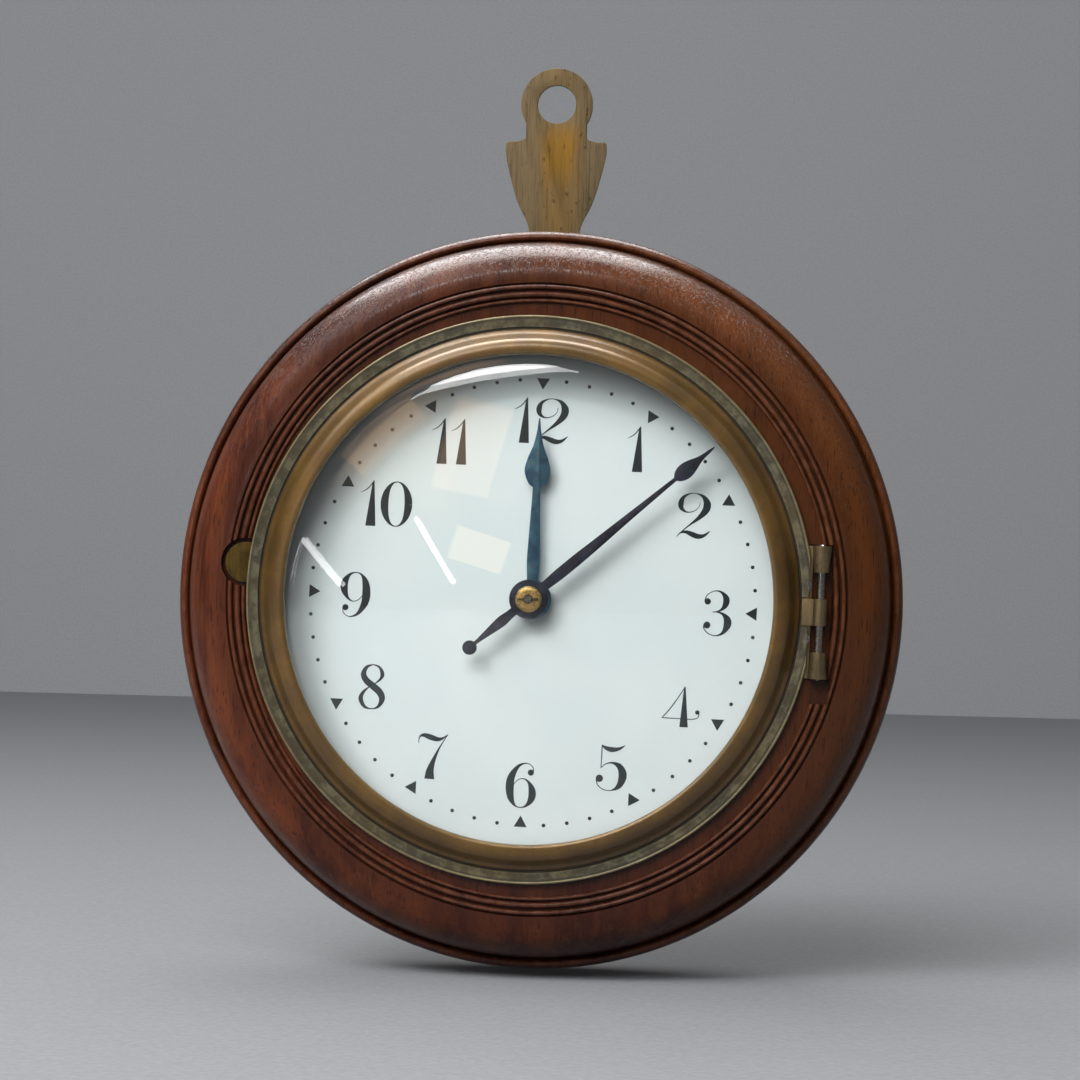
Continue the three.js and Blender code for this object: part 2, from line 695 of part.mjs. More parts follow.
function bezelRing() {
  const profile = [
    [glassRadius + seatGap, flangeBack],
    [flangeRadius, flangeBack],
    [flangeRadius, flangeFace - 0.2],
    [flangeRadius - 0.3, flangeFace + 0.1],
    [flangeRadius - 0.8, flangeFace - 0.1],
    [flangeRadius - 2.6, flangeFace - 0.25],
    [flangeRadius - 2.8, flangeFace - 0.5],
    [flangeRadius - 3.1, flangeFace - 0.2],
    [flangeRadius - 4.2, flangeFace + 0.7],
    ...arcPoints([crestRadius, flangeFace + mouldingRise - mouldingRound], [mouldingRound, mouldingRound], 32, 90, 4),
    [sightRadius + 0.3, flangeFace + mouldingRise - 0.3],
    [sightRadius, glassSeat + 0.6],
    [sightRadius, glassSeat],
    [glassRadius + seatGap, glassSeat],
    [glassRadius + seatGap, flangeBack],
  ];
  const chord = hingePinOffset - caseKnuckleRadius - seatGap - 0.15;
  return cut(turned(profile, 48), [
    block([chord, flangeRadius + 1], [flangeBack - 1, flangeFace + 5], [-leafHalf, leafHalf]),
    block([lugInner - seatGap, flangeRadius + 1], [flangeBack - 1, flangeFace + 5], [-lugHalf, lugHalf]),
  ]);
}

add(bezelGroup, "bezel_ring", bezelRing(), materials.brass);

// Depth of a dome's face at a radius, where the dome rises by rise over the radius reach.
function domeDepth(radius, edgeDepth, rise, reach) {
  const sphere = (reach * reach + rise * rise) / (2 * rise);
  return edgeDepth + rise - (sphere - Math.sqrt(sphere * sphere - radius * radius));
}

function domePoints(reach, edgeDepth, rise, steps) {
  const points = [];
  for (let i = 0; i <= steps; i++) {
    const radius = (reach * i) / steps;
    points.push([radius, domeDepth(radius, edgeDepth, rise, reach)]);
  }
  return points;
}

const glassFront = glassSeat - seatGap;
const glassReach = sightRadius - 0.3;
const glass = turned(
  [
    ...domePoints(glassReach - 0.6, glassFront - glassThickness, glassRise, 4),
    [glassRadius, glassFront - glassThickness],
    [glassRadius, glassFront],
    ...domePoints(glassReach, glassFront, glassRise, 4).reverse(),
  ],
  40,
);
add(dialGroup, "glass_dome", glass, materials.glass);

const keeperFront = glassFront - glassThickness - seatGap;
add(
  dialGroup,
  "glass_keeper_ring",
  washer(glassRadius - keeperWidth, glassRadius, keeperFront - keeperThickness, keeperFront, 40),
  materials.brass,
);

// Bezel hinge at three o'clock
const knuckleHole = [[0, 0], hingePinRadius + runGap];
const halfKnuckle = hingeLength / 10; // the hinge is five knuckles long

function bezelLug() {
  const ring = upright(disc([0, 0], bezelKnuckleRadius, [knuckleHole], 16), -halfKnuckle, halfKnuckle);
  const lugEnd = hingePinOffset - hingePinRadius - runGap - 0.1;
  const arm = block([lugInner, lugEnd], [lugBack, lugFace], [-halfKnuckle, halfKnuckle]);
  return joined([arm, ring.translate(hingePinOffset, -hingePinDepth, 0)]);
}

add(bezelGroup, "bezel_hinge_lug", bezelLug(), materials.brass);

function caseHingeLeaf() {
  const half = hingeLength / 2;
  const leafBack = flatDepth - leafThickness;
  // The leaf ends under the bezel, and only the knuckles reach over the pin.
  const leafEnd = hingePinOffset - caseKnuckleRadius + 0.25;
  const leaf = block([hingePinOffset - leafInnerReach, leafEnd], [leafBack, flatDepth], [-half, half]);
  const knuckleBlock = (low, high) => {
    const shape = new THREE.Shape();
    shape.moveTo(-caseKnuckleRadius, hingePinDepth - leafBack);
    shape.lineTo(-caseKnuckleRadius, 0);
    shape.absarc(0, 0, caseKnuckleRadius, Math.PI, Math.PI * 2, false);
    shape.lineTo(caseKnuckleRadius, hingePinDepth - leafBack);
    shape.closePath();
    pierced(shape, [knuckleHole], 10);
    return upright(shape, low, high, 8).translate(hingePinOffset, -hingePinDepth, 0);
  };
  const pieces = [leaf, knuckleBlock(-half, -3 * halfKnuckle), knuckleBlock(3 * halfKnuckle, half)];
  const holes = hingeScrewPlaces.map((place) => screwHole(hingeScrewSize, flatDepth, -1, place));
  return cut(joined(pieces), holes);
}

add(bezelGroup, "case_hinge_leaf", caseHingeLeaf(), materials.brass);
const hingePin = new THREE.CylinderGeometry(hingePinRadius, hingePinRadius, hingeLength + 0.6, 16);
add(
  bezelGroup,
  "bezel_hinge_pin",
  hingePin.rotateX(Math.PI / 2).translate(hingePinOffset, -hingePinDepth, 0),
  materials.steel,
);
hingeScrewPlaces.forEach((place, i) => {
  add(bezelGroup, `hinge_screw_${i + 1}`, screw(hingeScrewSize, flatDepth, -1, place), materials.steel);
});

// Catch, let into the wood under the bezel's flange
const catchFace = flatDepth - 0.1;
const catchPlate = cut(sheet(catchShape(0, catchInner), catchFace - catchThickness, catchFace), [
  screwHole(catchScrewSize, catchFace, -1, catchPivot),
]);
add(dialGroup, "bezel_catch", catchPlate, materials.brass);
add(dialGroup, "catch_screw", screw(catchScrewSize, catchFace, -1, catchPivot), materials.steel);

// Movement ring: a flange on the wood's ledge, a short wall and the shelf that carries the front plate
const ringBack = ledgeDepth + seatGap;
const ringFace = ringBack + ringSheet;
const shelfBack = plateFace + seatGap;
const shelfFace = shelfBack + ringSheet;
const ringWallOuter = boreRadius - seatGap;
const ringWallInner = ringWallOuter - ringWall;

function movementRing() {
  const profile = [
    [ringShelf, shelfBack],
    [ringWallOuter, shelfBack],
    [ringWallOuter, ringBack],
    [boreRadius + ringFlange, ringBack],
    [boreRadius + ringFlange, ringFace],
    [ringWallInner, ringFace],
    [ringWallInner, shelfFace],
    [ringShelf, shelfFace],
    [ringShelf, shelfBack],
  ];
  return cut(turned(profile, 32), [
    ...ringScrewPlaces.map((place) => screwHole(ringScrewSize, ringFace, -1, place)),
    ...frameScrewPlaces.map((place) => rod(frameScrew.shank + runGap, shelfBack - 1, shelfFace + 1, place)),
  ]);
}

add(dialGroup, "movement_ring", movementRing(), materials.gilt);
ringScrewPlaces.forEach((place, i) => {
  add(dialGroup, `ring_screw_${i + 1}`, screw(ringScrewSize, ringFace, -1, place), materials.steel);
});
frameScrewPlaces.forEach((place, i) => {
  const headBack = shelfFace + seatGap;
  const steps = [[frameScrew.shank, frontPlateDepth + seatGap], [frameScrew.head, headBack]];
  const head = arbor(steps, headBack + frameScrew.headHeight, 12);
  const slot = block([-3, 3], [headBack + frameScrew.headHeight - 0.4, headBack + 3], [-0.2, 0.2]);
  add(dialGroup, `frame_screw_${i + 1}`, cut(head, [slot]).translate(place[0], 0, place[1]), materials.blued);
});

// Places of the arbors, in the dial's front view
const centrePlace = [0, 0];
const barrelPlace = polar((barrelModule * (barrelTeeth + centrePinionTeeth)) / 2, 180);
const thirdLine = 60;
const thirdPlace = polar((centreModule * (centreWheelTeeth + thirdPinionTeeth)) / 2, thirdLine);
const fourthLine = -55;
const fourthPlace = polar((thirdModule * (thirdWheelTeeth + fourthPinionTeeth)) / 2, fourthLine, thirdPlace);
const escapeLine = -80;
const fourthToEscape = (fourthModule * (fourthWheelTeeth + escapePinionTeeth)) / 2;
const escapePlace = polar(fourthToEscape, escapeLine, fourthPlace);
const palletLine = -120;
const palletPlace = polar(palletDistance, palletLine, escapePlace);
const forkLine = -170;
const balancePlace = polar(leverLength + rollerRadius + 1.6, forkLine, palletPlace);
const cockFootPlace = polar(cockFootDistance, -86, balancePlace);
const minuteWheelLine = 270;
const minuteWheelPlace = polar(motionDistance, minuteWheelLine);
const clickPlace = polar(clickStudDistance, clickStudAngle, barrelPlace);

// Front plate, with the stud of the minute wheel
const innerBack = backPlateDepth + plateSheet; // the back plate's inner face
const minuteStudRadius = 0.7;
const motionBack = plateFace + 0.5;
const motionFace = motionBack + 1;
const hourWheelBack = motionFace + 0.6;
const hourWheelFace = hourWheelBack + 1;
const pivotHole = pivotRadius + seatGap;
const trainPlaces = [thirdPlace, fourthPlace, escapePlace, palletPlace];

function frontPlate() {
  const holes = [
    [centrePlace, centreArborRadius + runGap],
    [barrelPlace, barrelArborRadius + runGap],
    [balancePlace, balanceStaffRadius + runGap],
    ...trainPlaces.map((place) => [place, pivotHole]),
    ...pillarPlaces.map((place) => [place, pillarEndRadius + seatGap]),
    ...dialFootPlaces.map((place) => [place, dialFootRadius + seatGap]),
    ...frameScrewPlaces.map((place) => [place, frameScrew.shank + runGap]),
  ];
  const plate = sheet(disc([0, 0], frontPlateRadius, holes), frontPlateDepth, plateFace);
  return joined([plate, rod(minuteStudRadius, plateFace - 0.2, hourWheelFace + 0.6, minuteWheelPlace, 10)]);
}

add(dialGroup, "front_plate", frontPlate(), materials.gilt);

function backPlate() {
  const holes = [
    [centrePlace, pivotHole],
    [barrelPlace, barrelArborRadius + runGap],
    [balancePlace, rollerRadius + seatGap],
    ...trainPlaces.map((place) => [place, pivotHole]),
    ...pillarPlaces.map((place) => [place, pillarEndRadius + seatGap]),
    [cockFootPlace, 0.9],
  ];
  const plate = sheet(disc([0, 0], plateRadius, holes), backPlateDepth, innerBack);
  return joined([plate, rod(minuteStudRadius, backPlateDepth - 2.2, backPlateDepth + 0.2, clickPlace, 10)]);
}

add(dialGroup, "back_plate", backPlate(), materials.gilt);

pillarPlaces.forEach((place, i) => {
  const low = innerBack + seatGap;
  const high = frontPlateDepth - seatGap;
  const middle = (low + high) / 2;
  const points = [
    [0, backPlateDepth - 0.4],
    [pillarEndRadius, backPlateDepth - 0.4],
    [pillarEndRadius, low],
    [pillarRadius, low],
    [pillarRadius, low + 1.2],
    [pillarRadius * 0.65, middle],
    [pillarRadius, high - 1.2],
    [pillarRadius, high],
    [pillarEndRadius, high],
    [pillarEndRadius, plateFace - 0.2],
    [0, plateFace - 0.2],
  ];
  add(dialGroup, `pillar_${i + 1}`, turned(points, 10).translate(place[0], 0, place[1]), materials.gilt);
});

// Going barrel, wound from the back through its arbor
const barrelFront = innerBack + barrelRise;
const barrelBack = barrelFront - barrelDepth;
const barrelSheet = 1.1;
const barrelHole = barrelArborRadius + runGap;

function barrel() {
  const cup = turned(
    [
      [barrelHole, barrelFront - barrelSheet],
      [barrelDrumRadius - barrelWall, barrelFront - barrelSheet],
      [barrelDrumRadius - barrelWall, barrelBack],
      [barrelDrumRadius, barrelBack],
      [barrelDrumRadius, barrelFront],
      [barrelHole, barrelFront],
      [barrelHole, barrelFront - barrelSheet],
    ],
    24,
  );
  const rim = toothed(barrelTeeth, barrelModule, 0, barrelFront - barrelSheet, barrelFront, barrelHole);
  return joined([rim, cup]).translate(barrelPlace[0], 0, barrelPlace[1]);
}

add(dialGroup, "barrel", barrel(), materials.gilt);
const coverFace = barrelBack + 0.8;
const barrelCover = washer(barrelHole, barrelDrumRadius - barrelWall - seatGap, barrelBack, coverFace, 24);
add(dialGroup, "barrel_cover", barrelCover.translate(barrelPlace[0], 0, barrelPlace[1]), materials.gilt);

const ratchetBack = backPlateDepth - 1.4;
const ratchetFace = backPlateDepth - 0.5;
const squareEnd = doorThickness + 1;

function barrelArbor() {
  const round = arbor(
    [
      [barrelArborRadius, squareEnd + 3],
      [barrelCoreRadius, coverFace + seatGap],
      [barrelArborRadius, barrelFront - barrelSheet - seatGap],
    ],
    plateFace - 0.2,
    14,
  );
  const square = barrelArborRadius / Math.SQRT2;
  return joined([round, block([-square, square], [squareEnd, squareEnd + 3.5], [-square, square])]);
}

add(dialGroup, "barrel_arbor", barrelArbor().translate(barrelPlace[0], 0, barrelPlace[1]), materials.steel);

const mainspringInner = barrelCoreRadius + seatGap;
const mainspringOuter = barrelDrumRadius - barrelWall - mainspringThickness - seatGap;
const mainspring = sheet(
  spiralShape(mainspringInner, mainspringOuter, mainspringTurns, mainspringThickness, 12),
  coverFace + seatGap,
  barrelFront - barrelSheet - seatGap,
);
add(dialGroup, "mainspring", mainspring.translate(barrelPlace[0], 0, barrelPlace[1]), materials.blued);

// Ratchet and click behind the back plate
function sawPoints(teeth, tipRadius, toothHeight, lean) {
  const points = [];
  for (let i = 0; i < teeth; i++) {
    points.push(polar(tipRadius - toothHeight, (360 * i) / teeth));
    points.push(polar(tipRadius, (360 * (i + lean)) / teeth));
  }
  return points;
}

const ratchetShape = outline(sawPoints(ratchetTeeth, ratchetRadius, 0.7, 0.15), [[[0, 0], barrelHole]]);
const ratchet = sheet(ratchetShape, ratchetBack, ratchetFace, 4);
add(dialGroup, "ratchet_wheel", ratchet.translate(barrelPlace[0], 0, barrelPlace[1]), materials.steel);

// The click's nose comes down beside the ratchet, and stays clear of the teeth by toothGap.
const noseDistance = ratchetRadius + toothGap;
const noseTurn = Math.acos(
  (clickStudDistance ** 2 + noseDistance ** 2 - clickLength ** 2) / (2 * clickStudDistance * noseDistance),
);
const nosePlace = polar(noseDistance, clickStudAngle + THREE.MathUtils.radToDeg(noseTurn), barrelPlace);
const towardNose = Math.atan2(nosePlace[1] - clickPlace[1], nosePlace[0] - clickPlace[0]);
const noseAngle = THREE.MathUtils.radToDeg(towardNose);

// A point beside the click: along its nose, and across it on the side away from the ratchet.
const besideClick = (along, across) => polar(across, noseAngle - 90, polar(along, noseAngle, clickPlace));

function click() {
  const half = clickEyeRadius - 0.2;
  const nose = outline([besideClick(0, half), nosePlace, besideClick(0, -half)]);
  const eye = rod(clickEyeRadius, ratchetBack, ratchetFace, clickPlace, 14);
  const body = joined([sheet(nose, ratchetBack, ratchetFace), eye]);
  return cut(body, [rod(minuteStudRadius + runGap, ratchetBack - 1, ratchetFace + 1, clickPlace, 10)]);
}

add(dialGroup, "click", click(), materials.steel);

// A bent strip whose free end lies beside the click's nose; its foot is pinned to the plate.
function clickSpring() {
  const foot = polar(4 * clickEyeRadius, 150, clickPlace);
  const half = clickSpringThickness / 2;
  const points = [
    foot,
    besideClick(0.1 * clickLength, clickEyeRadius + 2 * clickSpringGap),
    besideClick(0.5 * clickLength, clickEyeRadius + 0.3 * clickSpringGap),
    besideClick(0.9 * clickLength, 0.1 * clickEyeRadius + clickSpringGap + half),
  ];
  const curve = new THREE.SplineCurve(points.map(([x, z]) => new THREE.Vector2(x, z)));
  const steps = 10;
  const edge = (way) =>
    curve.getPoints(steps).map((point, i) => {
      const tangent = curve.getTangent(i / steps);
      return [point.x - way * half * tangent.y, point.y + way * half * tangent.x];
    });
  const strip = sheet(outline([...edge(1), ...edge(-1).reverse()]), ratchetBack, ratchetFace);
  return joined([strip, rod(1.1, ratchetBack, backPlateDepth - seatGap, foot, 12)]);
}

add(dialGroup, "click_spring", clickSpring(), materials.blued);

// Going train. Each arbor carries a wheel and a pinion; the layers are depths of the wheels.
const layers = {
  centre: [frontPlateDepth - 1.4, frontPlateDepth - 0.5],
  barrel: [barrelFront - barrelSheet, barrelFront],
  third: [innerBack + thirdRise, innerBack + thirdRise + wheelSheet],
  fourth: [innerBack + fourthRise, innerBack + fourthRise + wheelSheet],
  escape: [innerBack + escapeRise, innerBack + escapeRise + wheelSheet],
};

// A pinion a little longer than the wheel that drives it, in mesh with it along the line of their centres.
function trainPinion(teeth, module, lineDegrees, [back, front]) {
  const end = Math.min(front + 0.4, frontPlateDepth - 0.2);
  return toothed(teeth, module, gapPhase(lineDegrees, teeth), back - 0.4, end);
}

function trainArbor(wheel, pinion, shaft) {
  return joined([shaft, wheel, pinion]);
}

const plainShaft = () =>
  arbor(
    [
      [pivotRadius, backPlateDepth + 0.2],
      [arborRadius, innerBack + seatGap],
      [pivotRadius, frontPlateDepth - seatGap],
    ],
    plateFace - 0.2,
    8,
  );

const centreShaft = arbor(
  [
    [pivotRadius, backPlateDepth + 0.2],
    [centreArborRadius, innerBack + seatGap],
    [setArborRadius, motionBack],
  ],
  minuteHandDepth - 1,
  12,
);
const centreWheel = trainArbor(
  toothed(centreWheelTeeth, centreModule, thirdLine, ...layers.centre),
  trainPinion(centrePinionTeeth, barrelModule, 0, layers.barrel),
  centreShaft,
);
add(dialGroup, "centre_wheel", centreWheel, materials.gilt);

const thirdWheel = trainArbor(
  toothed(thirdWheelTeeth, thirdModule, fourthLine, ...layers.third),
  trainPinion(thirdPinionTeeth, centreModule, thirdLine, layers.centre),
  plainShaft(),
);
add(dialGroup, "third_wheel", place(thirdWheel, thirdPlace), materials.gilt);

const fourthWheel = trainArbor(
  toothed(fourthWheelTeeth, fourthModule, escapeLine, ...layers.fourth),
  trainPinion(fourthPinionTeeth, thirdModule, fourthLine, layers.third),
  plainShaft(),
);
add(dialGroup, "fourth_wheel", place(fourthWheel, fourthPlace), materials.gilt);

const escapeDisc = sheet(outline(sawPoints(escapeTeeth, escapeRadius, 1.5, 0.75)), ...layers.escape);
const escapeWheel = trainArbor(
  escapeDisc,
  trainPinion(escapePinionTeeth, fourthModule, escapeLine, layers.fourth),
  plainShaft(),
);
add(dialGroup, "escape_wheel", place(escapeWheel, escapePlace), materials.gilt);

// Pallet lever: two arms that end clear of the escape wheel, and a fork towards the balance
function palletLever() {
  const toWheel = palletLine + 180;
  const reach = palletDistance - escapeRadius - toothGap - 0.9;
  const arm = (side) => outline([polar(0.9, toWheel + side * 150), polar(reach + 2.2, toWheel + side * 46),
    polar(reach + 1.4, toWheel + side * 32), polar(0.7, toWheel)]);
  const half = 0.55;
  const [tipX, tipZ] = polar(leverLength, forkLine);
  const side = polar(half, forkLine + 90);
  const tail = outline([
    [side[0], side[1]],
    [tipX + 1.6 * side[0], tipZ + 1.6 * side[1]],
    polar(leverLength - 1, forkLine),
    [tipX - 1.6 * side[0], tipZ - 1.6 * side[1]],
    [-side[0], -side[1]],
  ]);
  const lever = [1, -1].map((way) => sheet(arm(way), ...layers.escape));
  const boss = rod(1.2, ...layers.escape, [0, 0], 12);
  return joined([plainShaft(), boss, ...lever, sheet(tail, ...layers.escape)]);
}

add(dialGroup, "pallet_lever", place(palletLever(), palletPlace), materials.steel);

// Balance, its flat spring and the cock that holds them, behind the back plate
const cockBack = balanceDepth - cockDrop;
const hairspringBack = cockBack + cockThickness + 0.35;

function balanceWheel() {
  const rimBack = balanceDepth;
  const rimFace = balanceDepth + 1;
  const rim = washer(balanceRadius - balanceRim, balanceRadius, rimBack, rimFace, 30);
  const spokes = [0, 120, 240].map((degrees) => {
    const bar = block([0, balanceRadius - balanceRim / 2], [rimBack, rimFace], [-0.5, 0.5]);
    return bar.rotateY(radians(degrees));
  });
  const staff = arbor(
    [
      [balanceStaffRadius, cockBack + 0.2],
      [1.2, hairspringBack + 0.6],
      [balanceStaffRadius, rimFace + 0.5],
      [rollerRadius, layers.escape[1] + seatGap],
      [balanceStaffRadius, layers.escape[1] + seatGap + 0.6],
    ],
    plateFace - 0.2,
    12,
  );
  return joined([staff, rim, ...spokes]);
}

add(dialGroup, "balance_wheel", place(balanceWheel(), balancePlace), materials.gilt);

const hairspring = sheet(
  spiralShape(hairspringInner, hairspringOuter, hairspringTurns, hairspringThickness, 12, 90),
  hairspringBack,
  hairspringBack + 0.5,
);
add(dialGroup, "balance_spring", place(hairspring, balancePlace), materials.blued);

const cockScrewRadius = 0.7;
const cockEyeRadius = 4.2; // its round end over the balance
const cockFootRadius = 2.7;
const cockBridgeHalf = 2.65;
function balanceCock() {
  const axis = balancePlace;
  const foot = cockFootPlace;
  const along = [foot[0] - axis[0], foot[1] - axis[1]];
  const length = Math.hypot(...along);
  const across = [-along[1] / length, along[0] / length];
  const offset = (point, amount) => [point[0] + across[0] * amount, point[1] + across[1] * amount];
  const half = cockBridgeHalf;
  const bridge = outline([offset(axis, half), offset(foot, half), offset(foot, -half), offset(axis, -half)]);
  const pieces = [
    sheet(bridge, cockBack, cockBack + cockThickness),
    rod(cockEyeRadius, cockBack, cockBack + cockThickness, axis, 24),
    rod(cockFootRadius, cockBack, backPlateDepth - seatGap, foot, 20),
  ];
  const holes = [
    rod(balanceStaffRadius + runGap, cockBack - 1, cockBack + 3, axis, 12),
    rod(cockScrewRadius + runGap, cockBack - 1, backPlateDepth + 1, foot, 12),
  ];
  return cut(joined(pieces), holes);
}

add(dialGroup, "balance_cock", balanceCock(), materials.gilt);
const cockScrew = arbor(
  [[1.5, cockBack - seatGap - 0.6], [cockScrewRadius, cockBack - seatGap]],
  innerBack - 0.2,
  12,
);
const cockSlot = block([-3, 3], [cockBack - 3, cockBack - seatGap - 0.3], [-0.2, 0.2]);
add(dialGroup, "cock_screw", place(cut(cockScrew, [cockSlot]), cockFootPlace), materials.blued);

// Motion work between the front plate and the dial
const cannonBore = setArborRadius + runGap;
const hourPipeInner = cannonPipeRadius + runGap;
const hourPipeOuter = hourPipeInner + hourPipeWall;
const colletBack = minuteHandDepth + handThickness + seatGap;
const colletFace = colletBack + colletThickness;
const handPinDepth = colletFace + handPinRadius + 0.15;
const noseRadius = 0.75;

function cannonPinion() {
  const pipe = turned(
    [
      [cannonBore, motionBack],
      [cannonPipeRadius, motionBack],
      [cannonPipeRadius, colletBack - seatGap / 2],
      [noseRadius, colletBack - seatGap / 2],
      [noseRadius, handPinDepth + handPinRadius + 0.5],
      [0, handPinDepth + handPinRadius + 0.5],
      [0, minuteHandDepth - 1 + seatGap],
      [cannonBore, minuteHandDepth - 1 + seatGap],
      [cannonBore, motionBack],
    ],
    14,
  );
  const phase = gapPhase(minuteWheelLine + 180, cannonTeeth);
  const pinion = toothed(cannonTeeth, motionModule, phase, motionBack, motionFace + 0.3, cannonBore);
  const pinGap = handPinRadius + 0.15;
  const pinHole = new THREE.CylinderGeometry(pinGap, pinGap, 6, 8).rotateZ(Math.PI / 2);
  return cut(joined([pinion, pipe]), [pinHole.translate(0, -handPinDepth, 0)]);
}

const minuteGroup = new THREE.Group();
minuteGroup.rotation.y = radians(dialTurn + minuteHandAngle);
dialGroup.add(minuteGroup);
add(dialGroup, "cannon_pinion", cannonPinion(), materials.steel);

function minuteWheel() {
  const hole = minuteStudRadius + runGap;
  const wheel = toothed(minuteWheelTeeth, motionModule, minuteWheelLine + 180, motionBack, motionFace, hole);
  const phase = minuteWheelLine + 180;
  const pinion = toothed(minutePinionTeeth, motionModule, phase, motionFace - 0.1, hourWheelFace + 0.3, hole);
  return joined([wheel, pinion]);
}

add(dialGroup, "minute_wheel", place(minuteWheel(), minuteWheelPlace), materials.gilt);

function hourWheel() {
  const phase = gapPhase(minuteWheelLine + 180, hourWheelTeeth);
  const wheel = toothed(hourWheelTeeth, motionModule, phase, hourWheelBack, hourWheelFace, hourPipeInner);
  const pipe = washer(hourPipeInner, hourPipeOuter, hourWheelBack, hourHandDepth + handThickness, 16);
  return joined([wheel, pipe]);
}

add(dialGroup, "hour_wheel", hourWheel(), materials.gilt);

// Enamel dial, slightly domed, with three feet through the front plate
function dialGeometry() {
  const body = turned(
    [
      ...domePoints(dialRadius, dialBackDepth, dialRise, 2),
      ...domePoints(dialRadius, dialEdgeDepth, dialRise, 3).reverse(),
    ],
    40,
  );
  const feetEnd = frontPlateDepth - 2 * dialPinRadius - 1.4;
  const feet = dialFootPlaces.map((foot) => rod(dialFootRadius, feetEnd, dialEdgeDepth, foot, 12));
  const pinHoles = dialFootPlaces.map(([x, z]) => {
    const hole = new THREE.CylinderGeometry(dialPinRadius + 0.2, dialPinRadius + 0.2, 8, 10);
    return hole.rotateZ(Math.PI / 2).translate(x, -dialPinDepth, z);
  });
  const centreHole = rod(hourPipeOuter + seatGap, dialBackDepth - 1, dialEdgeDepth + 5, [0, 0], 20);
  return cut(joined([body, ...feet]), [centreHole, ...pinHoles]);
}

const dialPinDepth = frontPlateDepth - seatGap - dialPinRadius;
add(dialGroup, "dial", dialGeometry(), materials.enamel);
dialFootPlaces.forEach(([x, z], i) => {
  const pin = new THREE.CylinderGeometry(dialPinRadius * 0.7, dialPinRadius, dialPinLength, 8);
  add(
    dialGroup,
    `dial_pin_${i + 1}`,
    pin.rotateZ(Math.PI / 2).translate(x, -dialPinDepth, z),
    materials.steel,
  );
});

// Hands. A blade is drawn from [distance, half width] stations along its length.
function bladeShape(stations) {
  const right = stations.map(([along, half]) => new THREE.Vector2(half, along));
  const left = stations.map(([along, half]) => new THREE.Vector2(-half, along)).reverse();
  const shape = new THREE.Shape();
  shape.moveTo(right[0].x, right[0].y);
  shape.splineThru(right.slice(1));
  shape.lineTo(left[0].x, left[0].y);
  shape.splineThru(left.slice(1));
  shape.closePath();
  return shape;
}

function minuteHand() {
  const front = minuteHandDepth + handThickness;
  const shaft = bladeShape([
    [-minuteTail, 0.75],
    [-0.357 * minuteTail, 1.05],
    [minuteBossRadius - 0.3, 1.05],
    [0.2647 * minuteTip, 1.15],
    [0.5671 * minuteTip, 0.75],
    [minuteTip - 10.9, 0.45],
  ]);
  const leafWidths = [[11.4, 0.45], [9.9, 1.05], [8.1, 1.5], [6.3, 1.1], [4.1, 0.55], [2.7, 0.6], [0, 0.12]];
  const leaf = bladeShape(leafWidths.map(([fromTip, half]) => [minuteTip - fromTip, half]));
  const blade = joined([
    sheet(shaft, minuteHandDepth, front, 2),
    sheet(leaf, minuteHandDepth, front, 2),
    rod(minuteBossRadius, minuteHandDepth, front, [0, 0], 24),
    rod(minuteBallRadius, minuteHandDepth, front, [0, -minuteTail], 14),
  ]);
  return cut(blade, [rod(cannonPipeRadius + runGap, minuteHandDepth - 1, front + 1, [0, 0], 16)]);
}

add(minuteGroup, "minute_hand", minuteHand(), materials.blued);

function hourHand() {
  const front = hourHandDepth + handThickness;
  const stem = bladeShape([
    [0, 1.1],
    [hourBossRadius, 1.1],
    [0.2317 * hourTip, 1.4],
    [0.4534 * hourTip, 0.85],
    [hourTip - 14.3, 0.55],
  ]);
  const spadeWidths = [[15, 0.5], [13.7, 1.9], [11.2, 2.85], [8.7, 2.2], [5.7, 1.05], [2.7, 0.4], [0, 0.12]];
  const spade = bladeShape(spadeWidths.map(([fromTip, half]) => [hourTip - fromTip, half]));
  const blade = joined([
    sheet(stem, hourHandDepth, front, 2),
    sheet(spade, hourHandDepth, front, 2),
    rod(hourBossRadius, hourHandDepth, front, [0, 0], 20),
  ]);
  return cut(blade, [rod(hourPipeOuter + runGap, hourHandDepth - 1, front + 1, [0, 0], 20)]);
}

const hourHandMesh = add(dialGroup, "hour_hand", hourHand(), materials.blued);
hourHandMesh.rotation.y = radians(dialTurn + hourHandAngle);

const collet = turned(
  [
    [noseRadius + runGap, colletBack],
    [colletRadius, colletBack],
    [colletRadius, colletBack + colletThickness * 0.5],
    [colletRadius * 0.7, colletFace],
    [noseRadius + runGap, colletFace],
    [noseRadius + runGap, colletBack],
  ],
  18,
);
add(dialGroup, "hand_collet", collet, materials.brass);
const handPin = new THREE.CylinderGeometry(handPinRadius * 0.8, handPinRadius, 4.6, 8).rotateZ(Math.PI / 2);
add(dialGroup, "hand_pin", handPin.translate(0, -handPinDepth, 0), materials.steel);

export default clock;
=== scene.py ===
# A sedan clock: turned mahogany case on a brass hanging plate, brass bezel with a domed glass, enamel
# dial, blued hands and a lever movement. Sizes are millimetres in the front view: x to the right, z up
# from the hanging hole, and depth from the wall towards the front, so a depth of 10 is y = -0.010 m.
from contextlib import contextmanager
from math import asin, cos, degrees, hypot, pi, radians, sin, sqrt

import bmesh
import bpy
import numpy as np
from mathutils import Matrix, Vector
from mathutils.geometry import delaunay_2d_cdt


